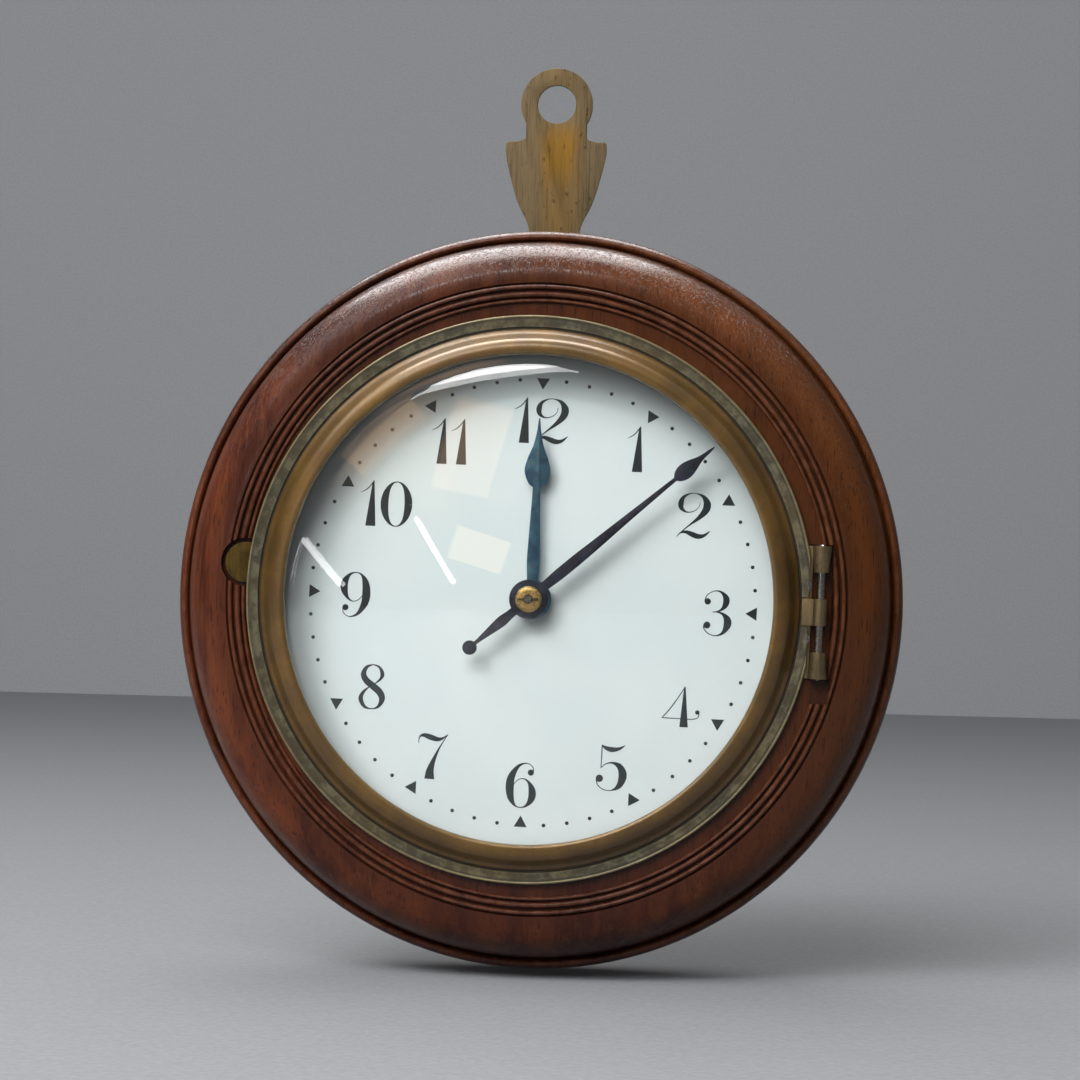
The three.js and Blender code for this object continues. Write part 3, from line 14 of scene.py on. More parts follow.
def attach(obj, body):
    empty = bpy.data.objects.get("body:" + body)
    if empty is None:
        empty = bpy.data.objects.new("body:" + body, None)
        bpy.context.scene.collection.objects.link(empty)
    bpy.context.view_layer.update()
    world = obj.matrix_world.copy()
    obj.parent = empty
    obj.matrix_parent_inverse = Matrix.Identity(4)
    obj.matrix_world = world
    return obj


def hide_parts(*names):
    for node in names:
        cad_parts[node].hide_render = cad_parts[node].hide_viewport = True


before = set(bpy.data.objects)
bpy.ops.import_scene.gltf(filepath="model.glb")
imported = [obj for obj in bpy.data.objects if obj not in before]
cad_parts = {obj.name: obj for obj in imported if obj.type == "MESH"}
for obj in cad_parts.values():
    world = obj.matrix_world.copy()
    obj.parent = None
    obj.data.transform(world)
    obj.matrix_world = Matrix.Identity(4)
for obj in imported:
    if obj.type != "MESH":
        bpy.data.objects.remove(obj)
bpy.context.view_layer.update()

MM = 0.001
WOOD_SHRINK = 0.983  # the wood has shrunk across its grain
WOOD = (0.0, -115.0)
DIAL = (-1.4, -115.0)
DIAL_TURN = 1.3  # degrees clockwise
SEAT = 37.4  # depth of the bezel's seat on the wood
BEZEL_PIN = (DIAL[0] + 63.8, 39.2)  # axis of the bezel's hinge, as x and depth
BACK_PIN = (DIAL[0] + 53.6, 1.8)  # axis of the door's hinge
LEAF_SCREW = 5.85  # from that axis to the screw in each of its leaves
CATCH_RISE = 6.8  # of the catch above the dial's middle
DIAL_DOME = (31, 1.5, 56.6)  # the enamel's face: depth at its edge, rise and reach
GLASS_RISE = 9.1


# Geometry helpers

def arc(centre, radii, start, end, steps):
    """Points on an ellipse's arc, as [radius, depth] or [x, z]."""
    turns = [radians(start + (end - start) * i / steps) for i in range(steps + 1)]
    return [(centre[0] + radii[0] * cos(t), centre[1] + radii[1] * sin(t)) for t in turns]


def ring_of(centre, radius, sides=48):
    return arc(centre, (radius, radius), 0, 360 - 360 / sides, sides - 1)


def smooth_line(points, steps=8):
    """A line through the points without corners (Catmull-Rom); each point may hold any count of numbers."""
    p = [np.array(point, float) for point in points]
    p = [2 * p[0] - p[1], *p, 2 * p[-1] - p[-2]]
    line = []
    for i in range(1, len(p) - 2):
        for s in range(steps):
            t = s / steps
            line.append(0.5 * (2 * p[i] + (p[i + 1] - p[i - 1]) * t
                               + (2 * p[i - 1] - 5 * p[i] + 4 * p[i + 1] - p[i + 2]) * t ** 2
                               + (3 * p[i] - p[i - 1] - 3 * p[i + 1] + p[i + 2]) * t ** 3))
    return [tuple(point) for point in [*line, p[-2]]]


def polar(distance, angle, centre=(0, 0)):
    turn = radians(angle)
    return (centre[0] + distance * cos(turn), centre[1] + distance * sin(turn))


def at(x, depth, z):
    return Vector((x, -depth, z)) * MM


def mesh_object(name, corners, faces):
    mesh = bpy.data.meshes.new(name)
    mesh.from_pydata([tuple(corner) for corner in corners], [], faces)
    mesh.validate()
    made = bpy.data.objects.new(name, mesh)
    bpy.context.scene.collection.objects.link(made)
    return made


def turned(name, profile, centre, segments=192, squeeze=1.0):
    """Turned work round the depth axis. A profile that starts and ends at radius 0 is a full solid, and
    any other one is closed into a ring."""
    corners, rows = [], []
    for radius, depth in profile:
        if radius == 0:
            rows.append([len(corners)] * segments)
            corners.append(at(centre[0], depth, centre[1]))
            continue
        rows.append(list(range(len(corners), len(corners) + segments)))
        for i in range(segments):
            x, z = polar(radius, 360 * i / segments)
            corners.append(at(centre[0] + x * squeeze, depth, centre[1] + z))
    if profile[0][0] or profile[-1][0]:
        rows.append(rows[0])
    faces = []
    for low, high in zip(rows, rows[1:]):
        for i in range(segments):
            j = (i + 1) % segments
            face = list(dict.fromkeys([low[i], low[j], high[j], high[i]]))
            if len(face) > 2:
                faces.append(face)
    return face_out(mesh_object(name, corners, faces))


@contextmanager
def opened(made):
    """A piece's mesh, opened for changes and written back after them."""
    shape = bmesh.new()
    shape.from_mesh(made.data)
    yield shape
    shape.to_mesh(made.data)
    shape.free()


def face_out(made):
    with opened(made) as shape:
        bmesh.ops.recalc_face_normals(shape, faces=shape.faces)
    return made


def plate(outline, back, front, holes=(), name="cutter"):
    """Sheet work: a front-view outline with holes, between two depths."""
    points, edges = [], []
    for loop in (outline, *holes):
        start = len(points)
        points += [Vector(point) for point in loop]
        edges += [(start + i, start + (i + 1) % len(loop)) for i in range(len(loop))]
    flat, _, tris, *_ = delaunay_2d_cdt(points, edges, [], 1, 1e-6)

    def inside(tri):
        middle = sum((flat[i] for i in tri), Vector((0, 0))) / 3
        return odd_crossings(middle, outline) and not any(odd_crossings(middle, hole) for hole in holes)
    return slab(name, flat, [tri for tri in tris if inside(tri)], lambda point: back, lambda point: front)


def odd_crossings(point, loop):
    inside = False
    for (ax, ay), (bx, by) in zip(loop, loop[1:] + loop[:1]):
        if (ay > point[1]) != (by > point[1]) and point[0] < (bx - ax) * (point[1] - ay) / (by - ay) + ax:
            inside = not inside
    return inside


def slab(name, flat, tris, back, front):
    """A closed sheet from flat triangles, its two faces at depths that may follow a curve."""
    corners = [at(p[0], back(p), p[1]) for p in flat] + [at(p[0], front(p), p[1]) for p in flat]
    count = len(flat)
    faces = [list(tri) for tri in tris] + [[i + count for i in reversed(tri)] for tri in tris]
    sides = dict.fromkeys((a, b) for tri in tris for a, b in zip(tri, [*tri[1:], tri[0]]))
    faces += [[b, a, a + count, b + count] for a, b in sides if (b, a) not in sides]
    made = mesh_object(name, corners, faces)
    with opened(made) as shape:
        bmesh.ops.delete(shape, geom=[v for v in shape.verts if not v.link_faces], context="VERTS")
    return face_out(made)


def upright(outline, low, high, place, widths=(1, 1), name="cutter"):
    """A bar along z from a plan-view outline of [x, depth] points round a place. Widths are the shares of
    its width that it has at its lower and upper end."""
    count = len(outline)
    corners = [at(place[0] + x * width, place[1] + depth, z)
               for z, width in ((low, widths[0]), (high, widths[1])) for x, depth in outline]
    faces = [list(range(count)), list(range(2 * count - 1, count - 1, -1))]
    faces += [[i, (i + 1) % count, (i + 1) % count + count, i + count] for i in range(count)]
    return face_out(mesh_object(name, corners, faces))


def brick(x, depth, z, name="cutter"):
    outline = [(x[0], depth[0]), (x[1], depth[0]), (x[1], depth[1]), (x[0], depth[1])]
    return upright(outline, *z, (0, 0), name=name)


def about(middle, half):
    return (middle - half, middle + half)


def with_dial(made):
    """Turns a piece or a cutter about the dial's axis, as far as dial and bezel are turned in the case."""
    axis = Matrix.Translation(at(DIAL[0], 0, DIAL[1]))
    made.data.transform(axis @ Matrix.Rotation(radians(DIAL_TURN), 4, "Y") @ axis.inverted())
    return made


def delete_piece(made):
    mesh = made.data
    bpy.data.objects.remove(made)
    bpy.data.meshes.remove(mesh)


def shape_with(made, tools, operation="DIFFERENCE"):
    """Cuts the tools from a piece, or joins them to it, and deletes them."""
    for tool in tools:
        step = made.modifiers.new("shape", "BOOLEAN")
        step.operation = operation
        step.solver = "EXACT"
        step.object = tool
        bpy.context.view_layer.update()
        result = bpy.data.meshes.new_from_object(made.evaluated_get(bpy.context.evaluated_depsgraph_get()))
        made.modifiers.clear()
        old = made.data
        made.data = result
        result.name = made.name
        bpy.data.meshes.remove(old)
        delete_piece(tool)
    return made


def ease_edges(made, width, angle=40, segments=2):
    """Breaks the sharp edges, as filing and handling do."""
    with opened(made) as shape:
        bmesh.ops.dissolve_limit(shape, angle_limit=radians(1), verts=shape.verts, edges=shape.edges)
        sharp = [e for e in shape.edges
                 if len(e.link_faces) == 2 and e.calc_face_angle(0) > radians(angle)]
        bmesh.ops.bevel(shape, geom=sharp, offset=width * MM, segments=segments, profile=0.6,
                        affect="EDGES", clamp_overlap=True)
    return made


def finish_piece(made, body, material, replaces, smooth=32):
    """Gives a piece its material, its shading and the body it rides on."""
    mesh = made.data
    mesh.shade_smooth()
    mesh.set_sharp_from_angle(angle=radians(smooth))
    mesh.materials.clear()
    mesh.materials.append(material)
    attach(made, body)
    if replaces:
        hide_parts(*replaces)


def mark_wear(made, profile, centre, squeeze=1.0, reach=0.7):
    """Writes how far each point of turned work lies on an edge that hands and cloths reach, and how far
    in a groove that holds old wax and dirt."""
    line = np.array(profile)
    sides = (line - np.roll(line, 1, 0), np.roll(line, -1, 0) - line)
    turns = [np.arctan2(side[:, 1], side[:, 0]) for side in sides]
    bend = (turns[1] - turns[0] + pi) % (2 * pi) - pi
    bend[[0, -2, -1]] = 0  # the flat beyond the last corner stays clean
    corners = np.empty(len(made.data.vertices) * 3)
    made.data.vertices.foreach_get("co", corners)
    corners = corners.reshape(-1, 3) / MM
    radius = np.hypot((corners[:, 0] - centre[0]) / squeeze, corners[:, 2] - centre[1])
    depth = -corners[:, 1]
    away = np.hypot(radius[:, None] - line[None, :, 0], depth[:, None] - line[None, :, 1])
    nearby = np.exp(-(away / reach) ** 2)
    edge = (nearby * np.clip(bend, 0, None)[None, :]).sum(1)
    groove = (nearby * np.clip(-bend, 0, None)[None, :]).sum(1)
    for name, amount in (("edge", edge - 0.5 * groove), ("groove", groove - 0.5 * edge)):
        values = made.data.attributes.new(name, "FLOAT", "POINT")
        values.data.foreach_set("value", np.clip(amount, 0, 1.5).astype(np.float32))


# Material helpers

def colour(code):
    """An sRGB hex colour as the linear value that the shaders take."""
    parts = [int(code[i:i + 2], 16) / 255 for i in (1, 3, 5)]
    return (*[c / 12.92 if c <= 0.04045 else ((c + 0.055) / 1.055) ** 2.4 for c in parts], 1)


def feed(node, inputs):
    """Gives a node's inputs what they need: numbers, colour codes, or the sockets of other nodes."""
    for name, given in inputs.items():
        if isinstance(given, bpy.types.NodeSocket):
            node.id_data.links.new(given, node.inputs[name])
        else:
            node.inputs[name].default_value = colour(given) if isinstance(given, str) else given


def add_node(tree, kind, inputs=None, **settings):
    """Adds one node with its settings and its inputs."""
    made = tree.nodes.new(kind)
    for name, value in settings.items():
        setattr(made, name, value)
    feed(made, inputs or {})
    return made


def new_material(name):
    made = bpy.data.materials.new(name)
    made.use_nodes = True
    tree = made.node_tree
    return made, tree, tree.nodes["Principled BSDF"]


def place_on(tree, kind="Object"):
    return add_node(tree, "ShaderNodeTexCoord").outputs[kind]


def pattern(tree, size, detail, roughness, seed, distortion=0.0):
    """A cloudy pattern, 0 to 1, whose patches are size millimetres across: one number, or (x, y, z)."""
    sizes = size if isinstance(size, tuple) else (size, size, size)
    placed = add_node(tree, "ShaderNodeMapping", {
        "Scale": tuple(1000 / part for part in sizes), "Location": (seed, seed * 1.7, seed * 0.6),
        "Vector": place_on(tree)})
    return add_node(tree, "ShaderNodeTexNoise", {
        "Scale": 1.0, "Detail": detail, "Roughness": roughness, "Distortion": distortion,
        "Vector": placed.outputs[0]}).outputs[0]


def spread(value, low, high, to_low=0.0, to_high=1.0):
    """Stretches a pattern between two of its values, with soft ends."""
    return add_node(value.id_data, "ShaderNodeMapRange", {
        "Value": value, "From Min": low, "From Max": high, "To Min": to_low, "To Max": to_high},
        interpolation_type="SMOOTHSTEP").outputs[0]


def combine(operation, *given):
    """Sums on sockets and numbers, of which at least one is a socket."""
    tree = next(item.id_data for item in given if isinstance(item, bpy.types.NodeSocket))
    return add_node(tree, "ShaderNodeMath", dict(enumerate(given)), operation=operation).outputs[0]


def blend(under, over, amount, share=None):
    """Lays one colour over another by an amount, or by a share of that amount."""
    if share is not None:
        amount = combine("MULTIPLY", amount, share)
    return add_node(amount.id_data, "ShaderNodeMix", {0: amount, 6: under, 7: over},
                    data_type="RGBA").outputs[2]


def worn_by(tree, name):
    return add_node(tree, "ShaderNodeAttribute", attribute_name=name).outputs["Fac"]


def relief(height, depth_mm, strength, under=None):
    inputs = {"Height": height, "Distance": depth_mm * MM, "Strength": strength}
    if under is not None:
        inputs["Normal"] = under
    return add_node(height.id_data, "ShaderNodeBump", inputs).outputs["Normal"]


def french_polished_mahogany():
    """Mahogany, turned and French polished: upright grain with fine dark pores under a thin glossy film,
    dark wax in the grooves, and edges rubbed down to paler wood."""
    made, tree, shader = new_material("french_polished_mahogany")
    figure = pattern(tree, (9, 9, 130), 4, 0.6, 3.1, 0.4)
    streaks = pattern(tree, (1.6, 1.6, 34), 3, 0.6, 8.3, 0.2)
    tone = spread(pattern(tree, (60, 60, 90), 2, 0.5, 5.0), 0.35, 0.7)
    wood = blend("#3f1a0e", "#68341c", spread(figure, 0.32, 0.68))
    wood = blend(wood, "#74401f", spread(streaks, 0.45, 0.75, 0, 0.5))
    wood = blend(wood, "#2a0d07", tone, 0.5)
    # The wood turns orange brown towards the right, and less so towards the top.
    place = add_node(tree, "ShaderNodeSeparateXYZ", {"Vector": place_on(tree)}).outputs
    lean = combine("MULTIPLY_ADD", place["Z"], 0.35, place["X"])
    wood = blend(wood, "#653a10", spread(lean, -0.05, 0.04), 0.5)
    # Pores 0.3 mm wide and up to 5 mm long
    pores = spread(pattern(tree, (0.42, 0.42, 4.5), 2, 0.55, 1.3), 0.56, 0.68)
    wood = blend(wood, "#1c0a06", pores, 0.6)
    # Painted shade darkens the beads with the foot of the round moulding beside them, and the rim is darker,
    # but only at the front, so the back and the door keep the wood's own colour.
    middle = add_node(tree, "ShaderNodeMapping", {
        "Scale": (1, 0, 1), "Location": (0, 0, -WOOD[1] * MM), "Vector": place_on(tree)})
    length = add_node(tree, "ShaderNodeVectorMath", {0: middle.outputs[0]}, operation="LENGTH")
    radius = length.outputs["Value"]
    painted_shade_and_dark_rim = combine("ADD", spread(radius, 0.0695, 0.0745, 0.5, 0.0),
                    spread(radius, 0.0785, 0.0797, 0.0, 0.35))
    wood = blend(wood, "#240e08", painted_shade_and_dark_rim, spread(place["Y"], -0.03, -0.022, 1.0, 0.0))
    cloudy = pattern(tree, (5, 5, 7), 4, 0.65, 7.7)
    dirt = combine("MULTIPLY", spread(worn_by(tree, "groove"), 0.1, 0.8),
                   spread(cloudy, 0.3, 0.55, 0.25, 0.65))
    wood = blend(wood, "#221009", dirt)
    rubbed = combine("MULTIPLY", spread(worn_by(tree, "edge"), 0.5, 1.4),
                     spread(pattern(tree, (3, 3, 4), 5, 0.7, 2.2), 0.4, 0.62, 0.15, 1.0))
    grain = relief(pattern(tree, (1.4, 1.4, 2.6), 3, 0.6, 9.9), 0.05, 0.35, relief(pores, -0.05, 0.5))
    # The polish has crazed in short upright strokes about 0.6 mm wide.
    crazing = spread(pattern(tree, (0.6, 0.6, 2.4), 4, 0.7, 12.5, 0.3), 0.5, 0.64)
    coat = relief(crazing, -0.07, 0.8, relief(pattern(tree, (6, 6, 10), 2, 0.5, 4.4), 0.12, 0.2))
    feed(shader, {
        "Base Color": blend(wood, "#8a5a44", rubbed, 0.22),
        "Roughness": combine("MULTIPLY_ADD", dirt, 0.25, spread(cloudy, 0.3, 0.75, 0.28, 0.46)),
        "Normal": grain,
        # The polish has a face of its own, so the wood under it hardly shines.
        "IOR": 1.5, "Specular IOR Level": 0.05,
        "Coat Weight": 0.5, "Coat Roughness": 0.18, "Coat Normal": relief(pores, -0.03, 0.3, coat),
    })
    return made


def aged_cast_brass():
    """Cast brass, turned and long since lacquered: olive brown patina, reddish patches where the lacquer
    went, a grey green flange, brown dirt in the hollow, and paler metal on the bead that hands touch."""
    made, tree, shader = new_material("aged_cast_brass")
    patches = pattern(tree, 14, 4, 0.6, 2.0, 0.3)
    metal = blend("#5f4518", "#76561f", spread(patches, 0.38, 0.62))
    metal = blend(metal, "#66402a", spread(pattern(tree, 7, 5, 0.65, 6.0, 0.5), 0.52, 0.72), 0.6)
    # The flange outside the moulding has gone a dull grey green.
    grey = blend("#434130", "#6f6c54", spread(pattern(tree, 2.5, 4, 0.7, 7.0), 0.42, 0.62))
    metal = blend(metal, grey, worn_by(tree, "flange"), spread(patches, 0.3, 0.7, 1.0, 0.75))
    fine = pattern(tree, 0.8, 4, 0.7, 4.0)
    metal = blend(metal, "#352d1a", spread(fine, 0.5, 0.8, 0, 0.6))
    dirt = combine("MULTIPLY", spread(worn_by(tree, "groove"), 0.12, 0.7),
                   spread(pattern(tree, 3, 3, 0.6, 1.0), 0.25, 0.5, 0.7, 1.0))
    metal = blend(metal, "#191710", dirt, 0.95)
    feed(shader, {
        "Base Color": blend(metal, "#b9a878", spread(worn_by(tree, "edge"), 0.45, 1.2, 0, 0.3)),
        "Metallic": combine("MULTIPLY_ADD", dirt, -0.4, 0.55),
        "Roughness": combine("MULTIPLY_ADD", dirt, 0.3, spread(fine, 0.3, 0.8, 0.3, 0.46)),
        "Normal": relief(fine, 0.02, 0.4),
        # What is left of the lacquer gives a paler glint than bare brass.
        "Coat Weight": 1.0, "Coat Roughness": 0.28,
    })
    return made


def brushed_sheet_brass(name, tint, dark):
    """Rolled and drawn brass, filed along its length: fine upright streaks, in its own tint where it is
    clean and grey brown where it has tarnished."""
    made, tree, shader = new_material(name)
    # File marks 0.15 mm apart, drawn at 0.35 mm so that they show
    marks = pattern(tree, (0.35, 0.35, 16), 3, 0.6, 1.0)
    broad = spread(pattern(tree, (6, 6, 12), 4, 0.65, 3.3, 0.4), 0.36, 0.66)
    spots = spread(pattern(tree, (1.2, 1.2, 1.8), 3, 0.6, 8.0), 0.62, 0.72)
    metal = blend(blend(*tint, spread(marks, 0.35, 0.65)), dark, broad, 0.7)
    feed(shader, {
        "Base Color": blend(metal, "#2d271f", spots, 0.7), "Metallic": 0.9,
        "Roughness": combine("MULTIPLY_ADD", broad, 0.15, spread(marks, 0.3, 0.7, 0.3, 0.42)),
        "Normal": relief(marks, 0.02, 0.5),
    })
    return made


def tarnished_plate_brass():
    """Rolled brass sheet that hung on a nail for two lifetimes: grey brown with fine upright file marks,
    and golden down the middle under the hole, where it was rubbed."""
    made, tree, shader = new_material("tarnished_plate_brass")
    place = add_node(tree, "ShaderNodeSeparateXYZ", {"Vector": place_on(tree)}).outputs
    # File marks 0.15 mm apart, drawn at 0.4 mm so that they show
    marks = pattern(tree, (0.4, 0.4, 14), 3, 0.65, 1.0)
    clouds = pattern(tree, (5, 5, 9), 4, 0.65, 3.3, 0.4)
    aside = combine("ABSOLUTE", combine("ADD", place["X"], -0.001))
    ragged = combine("MULTIPLY_ADD", clouds, 0.006, aside)
    under = combine("MULTIPLY", spread(place["Z"], -0.009, -0.003, 1.0, 0.15),
                    spread(place["Z"], -0.021, -0.013, 0.4, 1.0))
    golden = combine("MULTIPLY", spread(ragged, 0.0045, 0.0095, 1.0, 0.0), under)
    spots = spread(pattern(tree, (1.1, 1.1, 2.2), 3, 0.6, 8.0), 0.6, 0.72)
    metal = blend("#695b44", "#948160", spread(marks, 0.3, 0.7))
    metal = blend(metal, "#a37a2c", golden, 0.85)
    metal = blend(metal, "#4a3c22", spread(marks, 0.48, 0.75, 0, 0.6))
    feed(shader, {
        "Base Color": blend(metal, "#2e291f", spots, 0.6), "Metallic": 0.75,
        "Roughness": combine("MULTIPLY_ADD", golden, -0.06, spread(marks, 0.3, 0.7, 0.36, 0.52)),
        "Normal": relief(marks, 0.03, 0.6),
    })
    return made


def mercury_gilt_brass():
    """Brass plates and wheels, grained and gilded: a soft even gold with a fine frosted surface."""
    made, tree, shader = new_material("mercury_gilt_brass")
    frost = pattern(tree, 0.25, 3, 0.7, 1.0)
    gold = blend("#c9a54e", "#b98f42", spread(pattern(tree, 12, 3, 0.5, 4.0), 0.35, 0.65))
    feed(shader, {
        "Base Color": blend(gold, "#8a6a34", spread(frost, 0.5, 0.8, 0, 0.35)), "Metallic": 1.0,
        "Roughness": spread(frost, 0.3, 0.7, 0.28, 0.42), "Normal": relief(frost, 0.01, 0.4),
    })
    return made


def turned_collet_brass():
    """Brass turned in the lathe: light gold with fine grains of old lacquer."""
    made, tree, shader = new_material("turned_collet_brass")
    grains = pattern(tree, 0.35, 4, 0.7, 2.0)
    feed(shader, {
        "Base Color": blend("#dcb978", "#86682f", spread(grains, 0.42, 0.68)), "Metallic": 0.9,
        "Roughness": spread(grains, 0.3, 0.7, 0.3, 0.5), "Normal": relief(grains, 0.04, 0.5),
    })
    return made


def polished_steel():
    """Ground and polished steel, dulled by age: grey, with faint scratches and darker specks."""
    made, tree, shader = new_material("polished_steel")
    scratches = pattern(tree, (0.2, 0.2, 4), 2, 0.6, 3.0)
    specks = spread(pattern(tree, 0.9, 4, 0.7, 6.0), 0.55, 0.72)
    metal = blend("#a19d96", "#827f79", spread(scratches, 0.35, 0.7))
    feed(shader, {
        "Base Color": blend(metal, "#5b4d3d", specks, 0.7), "Metallic": 1.0,
        "Roughness": combine("MULTIPLY_ADD", specks, 0.25, 0.25), "Normal": relief(scratches, 0.01, 0.3),
    })
    return made


def fire_blued_steel(name, clear, deep, spots):
    """Steel blued by heat: a thin oxide film, bright where it is whole, with brown grey spots where damp
    has gone through it."""
    made, tree, shader = new_material(name)
    film = spread(pattern(tree, 5, 3, 0.6, 1.5, 0.3), 0.35, 0.65)
    bloom = spread(pattern(tree, (1.6, 1.6, 2.2), 4, 0.7, 7.0), 0.56, 0.68)
    feed(shader, {
        "Base Color": blend(blend(clear, deep, film), spots, bloom, 0.8), "Metallic": 0.85,
        "Roughness": combine("MULTIPLY_ADD", bloom, 0.25, 0.28),
        "Normal": relief(pattern(tree, 0.5, 3, 0.6, 2.0), 0.01, 0.4),
    })
    return made


def vitreous_enamel():
    """White glass fired on a thin metal disc: cool white, glossy, with faint specks and a hardly visible
    unevenness from the firing."""
    made, tree, shader = new_material("vitreous_enamel")
    white = blend("#e3e9ea", "#dde5e6", spread(pattern(tree, 25, 3, 0.5, 2.0), 0.35, 0.65))
    specks = spread(pattern(tree, 0.6, 2, 0.6, 11.0), 0.74, 0.79)
    feed(shader, {
        "Base Color": blend(white, "#8f9596", specks, 0.35), "Roughness": 0.12, "IOR": 1.5,
        "Coat Weight": 0.3, "Coat Roughness": 0.04,
        "Normal": relief(pattern(tree, 7, 2, 0.5, 5.0), 0.03, 0.25),
    })
    return made


def fired_black_enamel():
    """Black painted enamel, fired on the white: slightly worn, so fine grains of white show through."""
    made, tree, shader = new_material("fired_black_enamel")
    worn = spread(pattern(tree, 0.28, 3, 0.7, 1.0), 0.6, 0.75)
    patchy = spread(pattern(tree, 12, 2, 0.5, 9.0), 0.4, 0.7, 0.2, 0.8)
    feed(shader, {
        "Base Color": blend("#172021", "#77807f", worn, patchy), "Roughness": 0.3,
        "Normal": relief(worn, -0.01, 0.4),
    })
    return made


def polished_glass():
    """Bent and polished clear glass: its shadow is clear, so that the dial behind it stays lit."""
    made, tree, shader = new_material("polished_glass")
    dust = spread(pattern(tree, 0.5, 3, 0.7, 6.0), 0.66, 0.8, 0.0, 0.12)
    feed(shader, {
        "Base Color": "#fdfefd", "Transmission Weight": 1.0, "IOR": 1.5, "Roughness": dust,
        "Normal": relief(pattern(tree, 18, 2, 0.5, 3.0), 0.02, 0.2),
    })
    path = add_node(tree, "ShaderNodeLightPath").outputs
    unseen = combine("MAXIMUM", path["Is Shadow Ray"], path["Is Diffuse Ray"])
    clear = add_node(tree, "ShaderNodeBsdfTransparent", {"Color": "#fbfdfc"})
    mixed = add_node(tree, "ShaderNodeMixShader", {0: unseen, 1: shader.outputs[0], 2: clear.outputs[0]})
    feed(tree.nodes["Material Output"], {"Surface": mixed.outputs[0]})
    return made


mahogany = french_polished_mahogany()
cast_brass = aged_cast_brass()
plate_brass = tarnished_plate_brass()
hinge_brass = brushed_sheet_brass("drawn_hinge_brass", ("#8b7a5a", "#9f8d6a"), "#5c4f3a")
catch_brass = brushed_sheet_brass("dull_catch_brass", ("#5d4d27", "#6d5a2b"), "#332a19")
gilt = mercury_gilt_brass()
collet_brass = turned_collet_brass()
steel = polished_steel()
blue_steel = fire_blued_steel("fire_blued_steel", "#2c4a66", "#1d2c42", "#3b3a3c")
hour_steel = fire_blued_steel("teal_blued_steel", "#4f7a8e", "#33506a", "#6b6662")
minute_steel = fire_blued_steel("purple_blued_steel", "#3a3f4e", "#262633", "#4d463f")
enamel = vitreous_enamel()
ink = fired_black_enamel()
glass = polished_glass()


# Case

case_profile = [
    (0, 0), (69, 0), (70.4, 0), (71.2, 0), *arc((71.2, 0.8), (0.8, 0.8), -90, 0, 4),
    (72, 1.6), (72, 3), (72, 18.4), (72, 19.6),
    *[(72 + 2.6 * (1 - cos(t)), 19.6 + 2.6 * sin(t)) for t in (0.3, 0.6, 0.9, 1.2, 1.45)],
    (76, 22.5), (80.0, 22.75),
    *arc((80.88, 25.4), (1.6, 2.6), -75, 88, 22),
    (80.5, 27.8), (80.2, 27.45), (80.0, 27.15), (79.8, 27.25),
    *arc((69.8, 27.6), (9.85, 10.3), 0, 90, 44),
    (69.55, 37.65), (69.4, 37.5), *arc((68.8, 37.6), (0.55, 0.75), 0, 180, 10),
    (68.1, 37.45), (67.95, 37.45), *arc((67.15, 37.55), (0.65, 0.8), 0, 180, 12),
    (66.4, 37.35), (66.3, 37.35), *arc((65.75, 37.5), (0.45, 0.7), 0, 180, 10),
    (65.25, 37.4), (0, 37.4),
]


def d_outline(grow, inner):
    """The catch's outline: a round outer end and a flat inner one, grown all round for its pocket."""
    radius = 4.45 + grow
    middle = (-63.05, CATCH_RISE)
    return [(-inner, CATCH_RISE - radius), (-inner, CATCH_RISE + radius),
            *arc(middle, (radius, radius), 90, 270, 24)]


def from_dial(points):
    return [(DIAL[0] + x, DIAL[1] + z) for x, z in points]


def plate_outline(grow=0.0):
    """The hanging plate: round eye, shoulders, a waist and a wider foot with round corners."""
    neck = degrees(asin(7.05 / 8.35))
    eye = arc((0, 0), (8.35 + grow, 8.35 + grow), neck - 90, 270 - neck, 48)
    flank = smooth_line([(11.75, 9.8), (11.6, 12), (10.35, 17.5), (8.7, 22.9), (5.8, 31), (10, 44)], 8)
    side = [(7.05, 7.8), (7.5, 8.3), (9.4, 8.8), (11.2, 8.75), (11.7, 9.1), *flank,
            *arc((6, 57), (4, 4), 0, 90, 8)]
    side = [(half + grow, drop + (grow if drop > 31 else 0)) for half, drop in side]
    return [*eye, *[(-half, -drop) for half, drop in side], *[(half, -drop) for half, drop in reversed(side)]]


def countersink(size, face, way, place, grow=0.25):
    """A cutter for a screw of a head radius, shank radius and length, from a face one way in depth."""
    head, shank, length = size
    points = [(0, -1), (head + grow, -1), (head + grow, 0.3), (shank + grow, 0.3 + head - shank),
              (shank + grow, length + grow), (0, length + grow)]
    return turned("cutter", [(r, face + way * d) for r, d in points], place, 24)


def hanger_screw_cuts():
    return [countersink((2.6, 1.3, 12), 0, 1, (side, -52.5)) for side in (-5.5, 5.5)]


def hinge_screw_cuts(grow=0.25):
    return [countersink((1.4, 0.7, 7), SEAT, -1, (DIAL[0] + 60.6, DIAL[1] + side), grow)
            for side in (-5.8, 5.8)]


def catch_screw_cut(grow=0.25):
    return countersink((1.3, 0.7, 7), 37.3, -1, (DIAL[0] - 60.5, DIAL[1] + CATCH_RISE), grow)


def back_hinge_cuts(leaf):
    """Room for the back hinge's knuckles and leaves, and the screw of one leaf, -1 or 1 in x."""
    pin, z = BACK_PIN[0], DIAL[1]
    return [upright(ring_of((0, 0), 2.2, 32), *about(z, 12), BACK_PIN),
            brick(about(pin, 2.2), (-1, 1.8), about(z, 12)),
            brick(about(pin, 9.3), (-1, 1.6), about(z, 9.3)),
            countersink((1.2, 0.6, 3.4), 0.3, 1, (pin + leaf * LEAF_SCREW, z))]


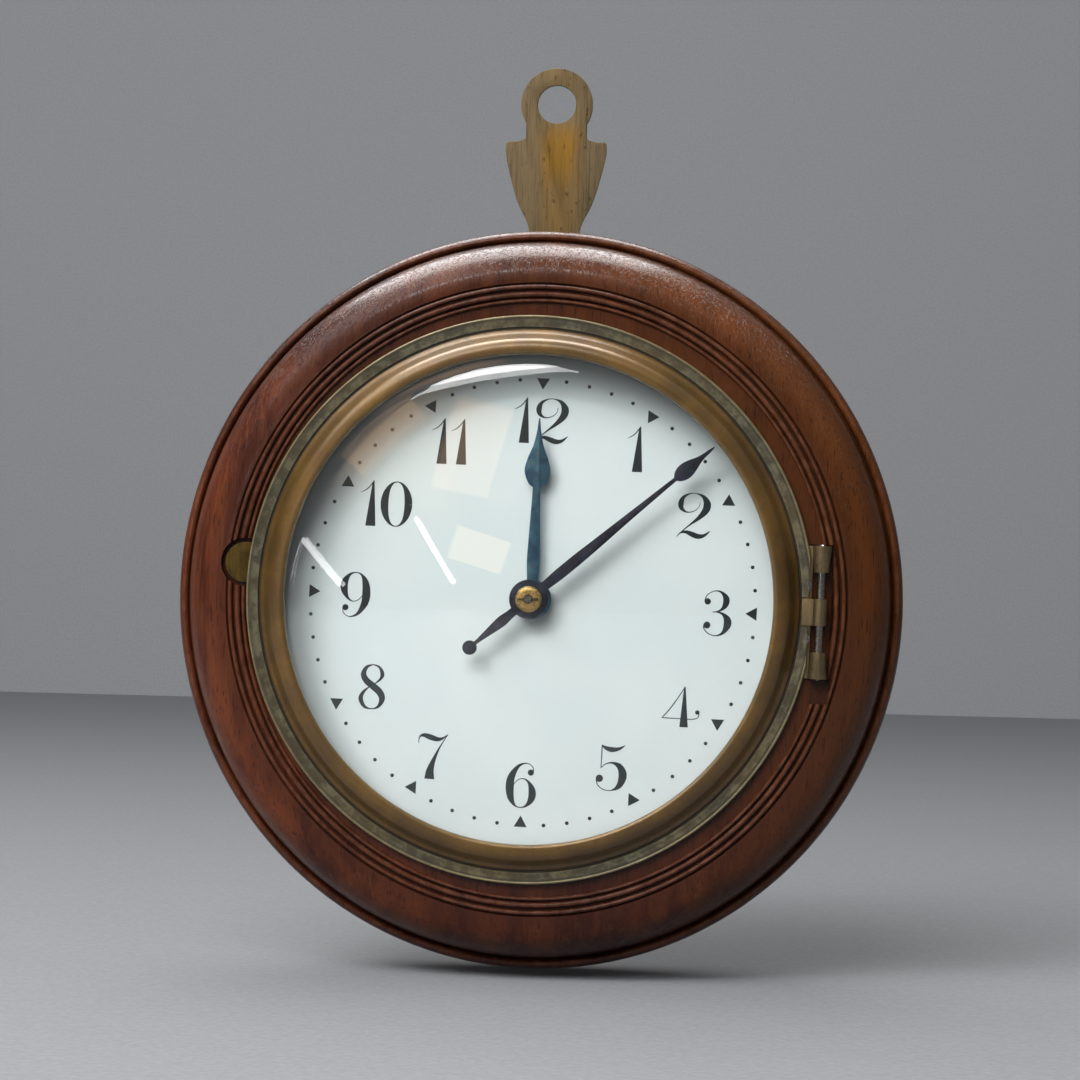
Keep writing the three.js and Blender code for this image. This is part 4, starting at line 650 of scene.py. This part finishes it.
def make_case():
    made = turned("case", case_profile, WOOD, 288, WOOD_SHRINK)
    z = DIAL[1]
    shape_with(made, [
        # The door's rebate, the hole for the movement and the recess of the dial are one cut.
        turned("cutter", [(0, -1), (52.2, -1), (52.2, 4.7), (45, 4.7), (45, 28.1), (57.5, 28.1), (57.5, 45),
                          (0, 45)], DIAL, 160),
        with_dial(brick((DIAL[0] + 58.6, DIAL[0] + 66.25), (36.1, 45), about(z, 14.8))),
        # Below the hinge the joiner's cut runs on through the beads.
        with_dial(brick((DIAL[0] + 61, DIAL[0] + 66.25), (37.35, 45), (z - 20, z - 14))),
        plate(from_dial(d_outline(0.9, 55.5)), 36.0, 45),
        *back_hinge_cuts(1),
        # A dip for the finger that opens the door
        turned("cutter", [(0, -1), (7, -1), (7, 2.4), (0, 2.4)], (DIAL[0] - 52.6, z), 64),
        plate(plate_outline(0.3), -1, 1.9),
        *[with_dial(cut) for cut in hinge_screw_cuts()],
        catch_screw_cut(),
        *[countersink((1.7, 0.9, 8), 29.4, -1, polar(50.5, turn, DIAL)) for turn in (60, 180, 300)],
        *hanger_screw_cuts(),
    ])
    mark_wear(made, case_profile, WOOD, WOOD_SHRINK)
    finish_piece(made, "case", mahogany, ["case_body"])


make_case()


def make_door():
    profile = [(0, 0), (50.7, 0), (51.6, 0.9), (51.6, 4.4), (0, 4.4)]
    made = shape_with(turned("door_panel", profile, DIAL, 160), back_hinge_cuts(-1))
    mark_wear(made, profile, DIAL)
    finish_piece(made, "door", mahogany, ["back_door"])


make_door()


# Hanging plate

hanger = plate(plate_outline(), 0, 1.6, [ring_of((0, 0), 4.5, 64)[::-1]], "hanger")
shape_with(hanger, hanger_screw_cuts())
ease_edges(hanger, 0.3, segments=3)
finish_piece(hanger, "case", plate_brass, ["hanging_plate"], 40)


# Bezel and its glass

bezel_profile = [
    (55.7, 37.7), (62.25, 37.7), (62.5, 37.95), (62.5, 38.5), *arc((62.2, 38.5), (0.3, 0.3), 15, 165, 8),
    (61.7, 38.6), (61.2, 38.5), (60.7, 38.44), (60.2, 38.44), (59.95, 38.4), (59.78, 38.12), (59.6, 38.1),
    (59.45, 38.4), (59.15, 38.65), (58.7, 38.95), (58.25, 39.4), (57.85, 39.95), (57.6, 40.3),
    *arc((54.6, 38.8), (3.3, 3.3), 32, 90, 28), *arc((54.5, 41.2), (0.9, 0.9), 90, 180, 10),
    (53.6, 40.8), (55.7, 40.8),
]


def make_bezel():
    made = turned("bezel", bezel_profile, DIAL, 256)
    end = DIAL[0] + 64
    shape_with(made, [with_dial(brick((DIAL[0] + 61.2, end), (36.5, 45), about(DIAL[1], 14.8))),
                      with_dial(brick((DIAL[0] + 59.6, end), (36.5, 45), about(DIAL[1], 3.2)))])
    mark_wear(made, bezel_profile, DIAL, 1.0, 0.4)
    flange = made.data.attributes.new("flange", "FLOAT", "POINT")
    for point, mark in zip(made.data.vertices, flange.data):
        mark.value = hypot(point.co.x / MM - DIAL[0], point.co.z / MM - DIAL[1]) > 59.7
    finish_piece(made, "bezel", cast_brass, ["bezel_ring"])


make_bezel()


def dome(radius, edge, rise, reach):
    """The depth of a dome at a radius, from the depth of its edge, its rise there and its reach."""
    sphere = (reach * reach + rise * rise) / (2 * rise)
    return edge + rise - (sphere - sqrt(sphere * sphere - radius * radius))


def dome_points(reach, edge, rise, steps):
    return [(reach * i / steps, dome(reach * i / steps, edge, rise, reach)) for i in range(steps + 1)]


glass_profile = [*dome_points(52.7, 39.0, GLASS_RISE, 28), (55.3, 39.0), (55.4, 39.1), (55.4, 40.4),
                 (55.3, 40.5), *dome_points(53.3, 40.5, GLASS_RISE, 28)[::-1]]
finish_piece(turned("glass", glass_profile, DIAL, 192), "bezel", glass, ["glass_dome"], 40)


# Bezel hinge and catch

def make_case_leaf():
    """The leaf in the case: two knuckles, filed wider towards their ends, on a strip under the bezel."""
    z = DIAL[1]
    made = brick((DIAL[0] + 58.9, BEZEL_PIN[0] - 1.9), (36.4, SEAT), about(z, 14.5), "case_leaf")
    knuckle = [(-2.1, -2.8), *arc((0, 0), (2.1, 2.1), 180, 0, 24), (2.1, -2.8)]
    shape_with(made, [upright(knuckle, z - 14.5, z - 8.7, BEZEL_PIN, (1, 0.78)),
                      upright(knuckle, z + 8.7, z + 14.5, BEZEL_PIN, (0.78, 1))], "UNION")
    shape_with(made, [pin_bore(20), *hinge_screw_cuts(0.05)])
    ease_edges(made, 0.18)
    finish_piece(with_dial(made), "case", hinge_brass, ["case_hinge_leaf"], 40)


def pin_bore(half):
    return upright(ring_of((0, 0), 0.95, 32), *about(DIAL[1], half), BEZEL_PIN)


def make_bezel_lug():
    made = brick((DIAL[0] + 59.9, BEZEL_PIN[0] - 0.6), (37.9, 38.6), about(DIAL[1], 2.9), "bezel_lug")
    shape_with(made, [upright(ring_of((0, 0), 1.5, 32), *about(DIAL[1], 2.9), BEZEL_PIN)], "UNION")
    shape_with(made, [pin_bore(9)])
    ease_edges(made, 0.12)
    finish_piece(with_dial(made), "bezel", hinge_brass, ["bezel_hinge_lug"], 40)


def make_hinge_pin():
    radius, rounded, half = 0.9, 0.585, 14.8
    straight = half - radius + rounded
    made = turned("hinge_pin", [(0, -half), (rounded, -half), (radius, -straight), (radius, straight),
                                (rounded, half), (0, half)], (0, 0), 32)
    # Turned work lies along the depth, so the pin is stood up on the hinge's axis.
    made.data.transform(Matrix.Translation(at(*BEZEL_PIN, DIAL[1])) @ Matrix.Rotation(pi / 2, 4, "X"))
    finish_piece(with_dial(made), "case", steel, ["bezel_hinge_pin"], 40)


make_case_leaf()
make_bezel_lug()
make_hinge_pin()

catch = plate(from_dial(d_outline(0, 58.9)), 36.3, 37.3, name="catch")
shape_with(catch, [catch_screw_cut(0.05)])
ease_edges(catch, 0.2, segments=3)
finish_piece(catch, "catch", catch_brass, ["bezel_catch"], 40)


# Dial

def make_dial():
    edge, rise, reach = DIAL_DOME
    front = dome_points(reach, edge, rise, 24)
    back = dome_points(reach, edge - 1.2, rise, 12)
    hole = 2.85
    rows = [(hole, 31.25), *[p for p in back if p[0] > hole], (56.6, 30.1), (56.5, 30.9),
            *[p for p in reversed(front) if hole < p[0] < 56.4], (hole + 0.5, 32.5), (hole + 0.1, 32.4)]
    made = turned("dial_plate", rows, DIAL, 192)
    foot = [(0, 21.8), (1.2, 21.8), (1.4, 22.0), (1.4, 31.2), (0, 31.2)]
    shape_with(made, [turned("foot", foot, polar(26, turn, DIAL), 24) for turn in (90, 205, 335)], "UNION")
    finish_piece(made, "case", enamel, ["dial"], 30)


make_dial()


def stroke(points, steps=7):
    """A pen stroke as overlapping four-sided pieces; each point is [x, y, width]."""
    line = smooth_line(points, steps)
    sides = []
    for i, (x, y, width) in enumerate(line):
        a = line[max(i - 1, 0)]
        b = line[min(i + 1, len(line) - 1)]
        length = hypot(b[0] - a[0], b[1] - a[1]) or 1
        nx, ny = -(b[1] - a[1]) / length, (b[0] - a[0]) / length
        half = max(width, 1.2) / 2
        sides.append(((x + nx * half, y + ny * half), (x - nx * half, y - ny * half)))
    return [[b, a, c, d] for (a, b), (c, d) in zip(sides, sides[1:])]


def dot(x, y, radius):
    return [ring_of((x, y), radius, 20)]


SIX = [
    stroke([(60, 79, 2), (57.5, 91, 2), (44, 98.5, 2.2), (26, 91, 7), (12, 68, 15.5), (9, 45, 18),
            (12, 22, 14), (21, 6, 5), (33, 1.2, 2.2), (47, 6, 6), (57.5, 22, 15), (58, 40, 15),
            (50, 57, 6), (38, 64.5, 2.2), (25, 60, 1.8), (15, 47, 1.4)]),
    dot(54, 78.5, 6.8),
]
NUMBER_SHAPES = {
    # Each number as its width and its pen strokes, in hundredths of its height
    "0": (70, [stroke([(35 + 26.5 * cos(t), 50 + 48.8 * sin(t), 2.2 + 15 * cos(t) ** 2)
                       for t in np.linspace(0, 2 * pi, 41)], 1)]),
    "1": (32, [
        [[(10, 0), (32.5, 0), (26.2, 100), (24.2, 100), (21.7, 93)]],
        stroke([(25, 99, 2), (19, 90, 2.4), (10, 80, 2.2), (-2, 73.5, 1.2)]),
    ]),
    "2": (75, [
        stroke([(50, 80, 1), (47.5, 69, 1.4), (37, 60, 1.8), (22, 57.5, 3), (10.5, 65, 9), (8.5, 77, 12),
                (14, 90, 7), (28, 98, 2.5), (42, 98.5, 2.2), (57, 92, 8), (65.5, 77, 16), (62.5, 62, 15),
                (49, 46, 9), (30, 30, 3.5), (12, 14, 2), (2, 3, 1.4)]),
        stroke([(2, 3, 1.4), (10, 11.5, 3), (22, 14, 7), (35, 9.5, 11), (48, 5.5, 11), (61, 7.5, 7),
                (74, 17.5, 1.4)]),
    ]),
    "3": (64, [
        stroke([(3, 76, 2), (8, 89, 2), (24, 98.5, 2), (39, 96, 5), (49, 84, 13), (49, 71, 13),
                (41, 59, 6), (28, 53, 2), (21, 52.5, 1.6)]),
        stroke([(21, 52.5, 1.6), (30, 53, 2.5), (43, 49, 6), (53, 38, 15), (54, 25, 16), (45, 8, 7),
                (30, 1.2, 2.2), (14, 5, 2), (4, 15, 2.5), (3.5, 24, 3)]),
        dot(9.5, 75, 7), dot(10, 23.5, 7.5),
    ]),
    "4": (95, [
        [[(45, 0), (66, 0), (56.5, 100), (53, 100)]],
        stroke([(55, 99, 2), (35, 66, 2.4), (16, 39, 2.4), (1, 21.5, 2.2)]),
        stroke([(1, 21.5, 2.2), (25, 21, 2.2), (60, 20.5, 2.2), (78, 21, 2.2), (89, 25, 2.2),
                (92.5, 34, 2.2)]),
        dot(88, 38, 5.5),
    ]),
    "5": (72, [
        stroke([(13, 99, 2), (22, 93, 8), (35, 90, 11), (50, 92, 7), (64, 100, 1.4)]),
        stroke([(13.5, 99, 2.2), (13.5, 75, 2.2), (13, 49, 2)]),
        stroke([(13, 49, 1.6), (23, 58, 2.2), (38, 61, 4.5), (54, 53, 13), (61, 34, 18), (54, 12, 12),
                (38, 1.2, 2.5), (20, 2, 2), (7, 12, 2.2), (4, 24, 3)]),
        dot(10.5, 26, 8),
    ]),
    "6": (66, SIX),
    "7": (67, [
        stroke([(2, 78, 1.4), (4, 91, 3), (13, 95.5, 8), (27, 92, 12), (42, 88, 10), (54, 90, 5),
                (66, 99, 1.4)]),
        stroke([(65.5, 98, 1.4), (50, 72, 3), (38, 45, 8), (30, 20, 16), (29, 0, 22)]),
    ]),
    "8": (64, [
        stroke([(32, 98.5, 2.2), (18, 92, 7), (11.5, 77, 12), (18, 63, 14), (32, 52, 15), (48, 39, 15),
                (54.5, 24, 13), (47, 7, 6), (32, 1.2, 2.2), (16, 6, 7), (7.5, 22, 10), (12, 36, 7),
                (24, 48, 3), (38, 57, 2.5), (50, 68, 6), (53, 79, 9), (46, 93, 5), (32, 98.5, 2.2)]),
    ]),
    "9": (66, [[[(66 - x, 100 - y) for x, y in piece] for piece in part] for part in SIX]),
}


def number_pieces(number, centre, height, turn):
    """The pen pieces of a number of one or two figures, upright but for the dial's turn."""
    spacing = 10 if number == 10 else 11
    shapes = [NUMBER_SHAPES[figure] for figure in str(number)]
    left = -(sum(width for width, _ in shapes) + spacing * (len(shapes) - 1)) / 2
    pieces = []
    across, rise = cos(turn) * height / 100, sin(turn) * height / 100
    for width, parts in shapes:
        for piece in (piece for part in parts for piece in part):
            spots = [(left + x, y - 50) for x, y in piece]
            pieces.append([(centre[0] + x * across - y * rise, centre[1] + x * rise + y * across)
                           for x, y in spots])
        left += width + spacing
    return pieces


# The painter set each number by eye: how far it stands from its even place.
NUMBER_SLIPS = {1: (0.6, 0), 2: (-0.65, 0.65), 3: (0.1, -0.45), 4: (-1.6, -1.2), 5: (-1.55, -0.6),
                6: (-1.25, 0), 7: (-1.0, 0), 8: (-0.3, 0), 9: (0.4, 0), 10: (1.1, 0.3), 11: (-0.3, 0),
                12: (-0.2, 0)}


def make_print():
    """Numbers, triangles and minute dots as one thin layer of black enamel that stands on the dial. The
    print sits a little low and right on the disc."""
    pieces = []
    for hour in range(1, 13):
        x, z = polar(40.3, 90 - 30 * hour - DIAL_TURN, (DIAL[0] + 1.0, DIAL[1] - 0.8))
        aside, up = NUMBER_SLIPS[hour]
        height = 8.9 if hour == 4 else 10.1
        pieces.append(number_pieces(hour, (x + aside, z + up), height, -radians(DIAL_TURN)))
    middle_of_marks = (DIAL[0] + 0.35, DIAL[1] - 0.7)
    for minute in range(60):
        along = 90 - 6 * minute - DIAL_TURN - 0.4
        if minute % 5:
            pieces.append([ring_of(polar(49.3, along, middle_of_marks), 0.42, 14)])
        else:
            middle = polar(48.8, along, middle_of_marks)
            pieces.append([[polar(1.68, along + 180 + 120 * k, middle) for k in range(3)]])
    corners, faces = [], []
    for group in pieces:
        points, shapes = [], []
        for piece in group:
            if abs(area(piece)) > 1e-6:
                shapes.append(list(range(len(points), len(points) + len(piece))))
                points += [Vector(point) for point in (piece if area(piece) > 0 else piece[::-1])]
        flat, _, tris, _, _, origins = delaunay_2d_cdt(points, [], shapes, 1, 1e-5)
        tris = [tri for tri, origin in zip(tris, origins) if origin]
        made = slab("print", flat, tris, lambda p: enamel_face(p) - 0.05, lambda p: enamel_face(p) + 0.03)
        start = len(corners)
        corners += [v.co.copy() for v in made.data.vertices]
        faces += [[i + start for i in face.vertices] for face in made.data.polygons]
        delete_piece(made)
    finish_piece(mesh_object("dial_print", corners, faces), "case", ink, (), 30)


def area(points):
    return sum(a[0] * b[1] - b[0] * a[1] for a, b in zip(points, points[1:] + points[:1])) / 2


def enamel_face(point):
    return dome(hypot(point[0] - DIAL[0], point[1] - DIAL[1]), *DIAL_DOME)


make_print()


# Hands

def blade(stations, turn, aside=0.0):
    """A blade's outline from [distance, half width] stations, turned clockwise from twelve."""
    line = smooth_line(stations, 10)
    outline = [(aside + half, along) for along, half in line]
    outline += [(aside - half, along) for along, half in reversed(line)]
    across, rise = cos(radians(-turn)), sin(radians(-turn))
    return [(DIAL[0] + x * across - z * rise, DIAL[1] + x * rise + z * across) for x, z in outline]


def union_plate(name, outlines, back, front, hole):
    """Sheet work from overlapping outlines, with one hole."""
    points, shapes = [], []
    for outline in (*outlines, hole):
        shapes.append(list(range(len(points), len(points) + len(outline))))
        points += [Vector(point) for point in (outline if area(outline) > 0 else outline[::-1])]
    flat, _, tris, _, _, origins = delaunay_2d_cdt(points, [], shapes, 1, 1e-5)
    tris = [tri for tri, origin in zip(tris, origins) if origin and max(origin) < len(outlines)]
    return slab(name, flat, tris, lambda p: back, lambda p: front)


def make_hand(name, node, body, material, outlines, back, hole):
    made = union_plate(name, outlines, back, back + 0.6, ring_of(DIAL, hole, 48))
    ease_edges(made, 0.16)
    finish_piece(made, body, material, [node], 35)


minute_turn = 49.5
make_hand("minute_blade", "minute_hand", "minute", minute_steel, [
    blade([(-16.8, 0.35), (-14.4, 0.45), (-11, 0.85), (-7.6, 1.18), (-4.5, 0.95), (4, 1.0), (9, 1.25),
           (17, 1.18), (29, 0.75), (42, 0.42)], minute_turn),
    blade([(41.5, 0.42), (42.3, 1.2), (43.6, 1.7), (45, 1.72), (46.6, 1.3), (48.2, 0.75), (49.8, 0.45),
           (51, 0.36), (52.6, 0.12)], minute_turn),
    ring_of(DIAL, 4.3, 64),
    ring_of(polar(16.8, 270 - minute_turn, DIAL), 1.6, 32),
], 36.3, 1.85)
make_hand("hour_blade", "hour_hand", "hour", hour_steel, [
    # The hour hand has slipped half a millimetre sideways on its pipe.
    blade([(0, 1.15), (4, 1.2), (9.2, 1.42), (18, 1.05), (25.4, 0.78)], DIAL_TURN, 0.5),
    blade([(24.6, 0.75), (25.6, 1.9), (28.2, 2.82), (31, 2.25), (34, 1.1), (37, 0.45), (39.9, 0.14)],
          DIAL_TURN, 0.5),
    ring_of((DIAL[0] + 0.45, DIAL[1]), 4.4, 64),
], 34.3, 2.8)

collet = turned("hands_collet", [(1.0, 37.2), (2.8, 37.2), (2.9, 37.3), (2.9, 37.65), (2.75, 37.85),
                                 (2.4, 38.05), (2.0, 38.15), (1.2, 38.2), (1.0, 38.15)], DIAL, 64)
finish_piece(collet, "minute", collet_brass, ["hand_collet"], 40)


# The CAD nodes that stay get their finish and soft shading.

def soft_shading():
    group = bpy.data.node_groups.new("soft_shading", "GeometryNodeTree")
    group.interface.new_socket("Geometry", in_out="INPUT", socket_type="NodeSocketGeometry")
    group.interface.new_socket("Geometry", in_out="OUTPUT", socket_type="NodeSocketGeometry")
    start = add_node(group, "NodeGroupInput").outputs[0]
    angle = add_node(group, "GeometryNodeInputMeshEdgeAngle").outputs["Unsigned Angle"]
    faces = add_node(group, "GeometryNodeSetShadeSmooth", {"Geometry": start, "Shade Smooth": True},
                     domain="FACE")
    edges = add_node(group, "GeometryNodeSetShadeSmooth", {
        "Geometry": faces.outputs[0], "Shade Smooth": combine("LESS_THAN", angle, radians(35))},
        domain="EDGE")
    feed(add_node(group, "NodeGroupOutput"), {0: edges.outputs[0]})
    return group


def numbered(name, count):
    return [f"{name}_{i + 1}" for i in range(count)]


shading = soft_shading()
FINISHES = {
    gilt: ["movement_ring", "front_plate", "back_plate", *numbered("pillar", 4), "barrel", "barrel_cover",
           "centre_wheel", "third_wheel", "fourth_wheel", "escape_wheel", "balance_wheel", "balance_cock",
           "minute_wheel", "hour_wheel"],
    steel: ["barrel_arbor", "ratchet_wheel", "click", "pallet_lever", "cannon_pinion", "catch_screw",
            *numbered("plate_screw", 2), *numbered("hinge_screw", 2), *numbered("ring_screw", 3),
            *numbered("dial_pin", 3), "back_hinge_pin", "door_leaf_screw", "case_leaf_screw"],
    blue_steel: ["mainspring", "click_spring", "balance_spring", *numbered("frame_screw", 3), "cock_screw"],
    hinge_brass: ["door_hinge_leaf", "case_back_hinge_leaf", "glass_keeper_ring"],
    catch_brass: ["hand_pin"],
}
for finish, names in FINISHES.items():
    for name in names:
        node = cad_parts[name]
        node.data.materials.clear()
        node.data.materials.append(finish)
        node.modifiers.new("soft shading", "NODES").node_group = shading


# Floor, light and camera

def make_floor():
    """A pale board, and a wall of the same board behind it. The clock hangs just above the board."""
    low, back = -0.1993, 1.49
    made = mesh_object("floor", [(-4, -2, low), (4, -2, low), (4, back, low), (-4, back, low),
                                 (4, back, 3), (-4, back, 3)], [[0, 1, 2, 3], [3, 2, 4, 5]])
    for index, tints in enumerate((("#87898c", "#919396"), ("#9b9da0", "#a6a8ab"))):
        material, tree, shader = new_material("painted_board")
        board = blend(*tints, spread(pattern(tree, 1.5, 4, 0.7, 1.0), 0.3, 0.7))
        # The board looks pale, also in metal and glass, but throws little light back on the clock.
        path = add_node(tree, "ShaderNodeLightPath").outputs
        looked_at = combine("MAXIMUM", path["Is Camera Ray"],
                            combine("MAXIMUM", path["Is Glossy Ray"], path["Is Transmission Ray"]))
        feed(shader, {"Base Color": blend("#414243", board, looked_at), "Roughness": 0.8})
        made.data.materials.append(material)
        made.data.polygons[index].material_index = index


def lamp(name, place, size, power, along=(1, 0, 0), tint="#ffffff", lights=True, shows=True):
    """A flat lamp that faces the clock, its first side along a direction. One that doesn't light only
    gives glints, and one that doesn't show gives none."""
    light = bpy.data.lights.new(name, "AREA")
    light.shape = "RECTANGLE"
    light.size, light.size_y = size
    light.energy = power
    light.color = colour(tint)[:3]
    made = bpy.data.objects.new(name, light)
    back = (Vector(place) - Vector((0, 0, -0.115))).normalized()
    side = Vector(along)
    side = (side - back * side.dot(back)).normalized()
    turn = Matrix((side, back.cross(side), back)).transposed()
    made.matrix_world = Matrix.Translation(Vector(place)) @ turn.to_4x4()
    made.visible_diffuse = lights
    made.visible_glossy = made.visible_transmission = shows
    bpy.context.scene.collection.objects.link(made)
    return made


def make_world():
    world = bpy.data.worlds.new("studio")
    world.use_nodes = True
    tree = world.node_tree
    up = add_node(tree, "ShaderNodeSeparateXYZ", {"Vector": place_on(tree, "Generated")}).outputs["Z"]
    feed(tree.nodes["Background"], {"Color": blend("#85868a", "#d8dadd", spread(up, 0.1, 1.0)),
                                    "Strength": 0.5})
    bpy.context.scene.world = world


def make_camera():
    """The photo's viewing angle: about 690 mm in front of the clock and a little to its right."""
    yaw, pitch, roll = radians(-3.965), radians(0.898), radians(1.304)
    forward = Vector((sin(yaw) * cos(pitch), cos(yaw) * cos(pitch), sin(pitch)))
    level = Vector((cos(yaw), -sin(yaw), 0))
    over = level.cross(forward)
    right = cos(roll) * level + sin(roll) * over
    up = -sin(roll) * level + cos(roll) * over
    data = bpy.data.cameras.new("camera")
    data.sensor_width = 36
    data.lens = 99.13
    data.clip_start, data.clip_end = 0.05, 20
    made = bpy.data.objects.new("camera", data)
    turn = Matrix((right, up, -forward)).transposed()
    made.matrix_world = Matrix.Translation(Vector((46.04, -689.65, -112.17)) * MM) @ turn.to_4x4()
    bpy.context.scene.collection.objects.link(made)
    bpy.context.scene.camera = made


make_floor()
lamp("overhead", (-0.2, 0.32, 1.0), (1.05, 1.0), 40, lights=False)
lamp("key", (-0.8, -0.62, 1.05), (1.0, 0.8), 7)
lamp("front", (-0.6, -1.4, 1.0), (1.6, 1.4), 31, shows=False)
lamp("spot", (-0.8, -1.12, 0.8), (0.5, 0.4), 7, shows=False)
# These stand where the dome shows them: a long tube high in front and two thin ones at the left.
lamp("tube", (-0.235, -0.915, 0.725), (0.66, 0.085), 2.8, (0.627, -0.051, 0.132))
lamp("thin_tube_1", (-0.4365, -1.1535, 0.0565), (0.294, 0.016), 0.2, (0.145, -0.087, -0.241))
lamp("thin_tube_2", (-0.8345, -0.934, 0.0), (0.25, 0.016), 0.13, (0.131, -0.13, -0.169))
# Three warm panels show in it as pale spots, as lit walls would.
for number, (place, size, power, along, tint) in enumerate((
        ((-0.27, -1.2, 0.065), (0.22, 0.13), 0.16, (0.24, -0.07, -0.07), "#ffd9a0"),
        ((-0.302, -1.066, 0.438), (0.226, 0.36), 0.32, (0.213, -0.068, -0.035), "#ffc892"),
        ((-0.615, -0.929, 0.458), (0.32, 0.11), 0.16, (0.223, -0.005, 0.232), "#ffc892"))):
    lamp(f"warm_panel_{number + 1}", place, size, power, along, tint, lights=False)
make_world()
make_camera()
bpy.context.scene.view_settings.view_transform = "Standard"
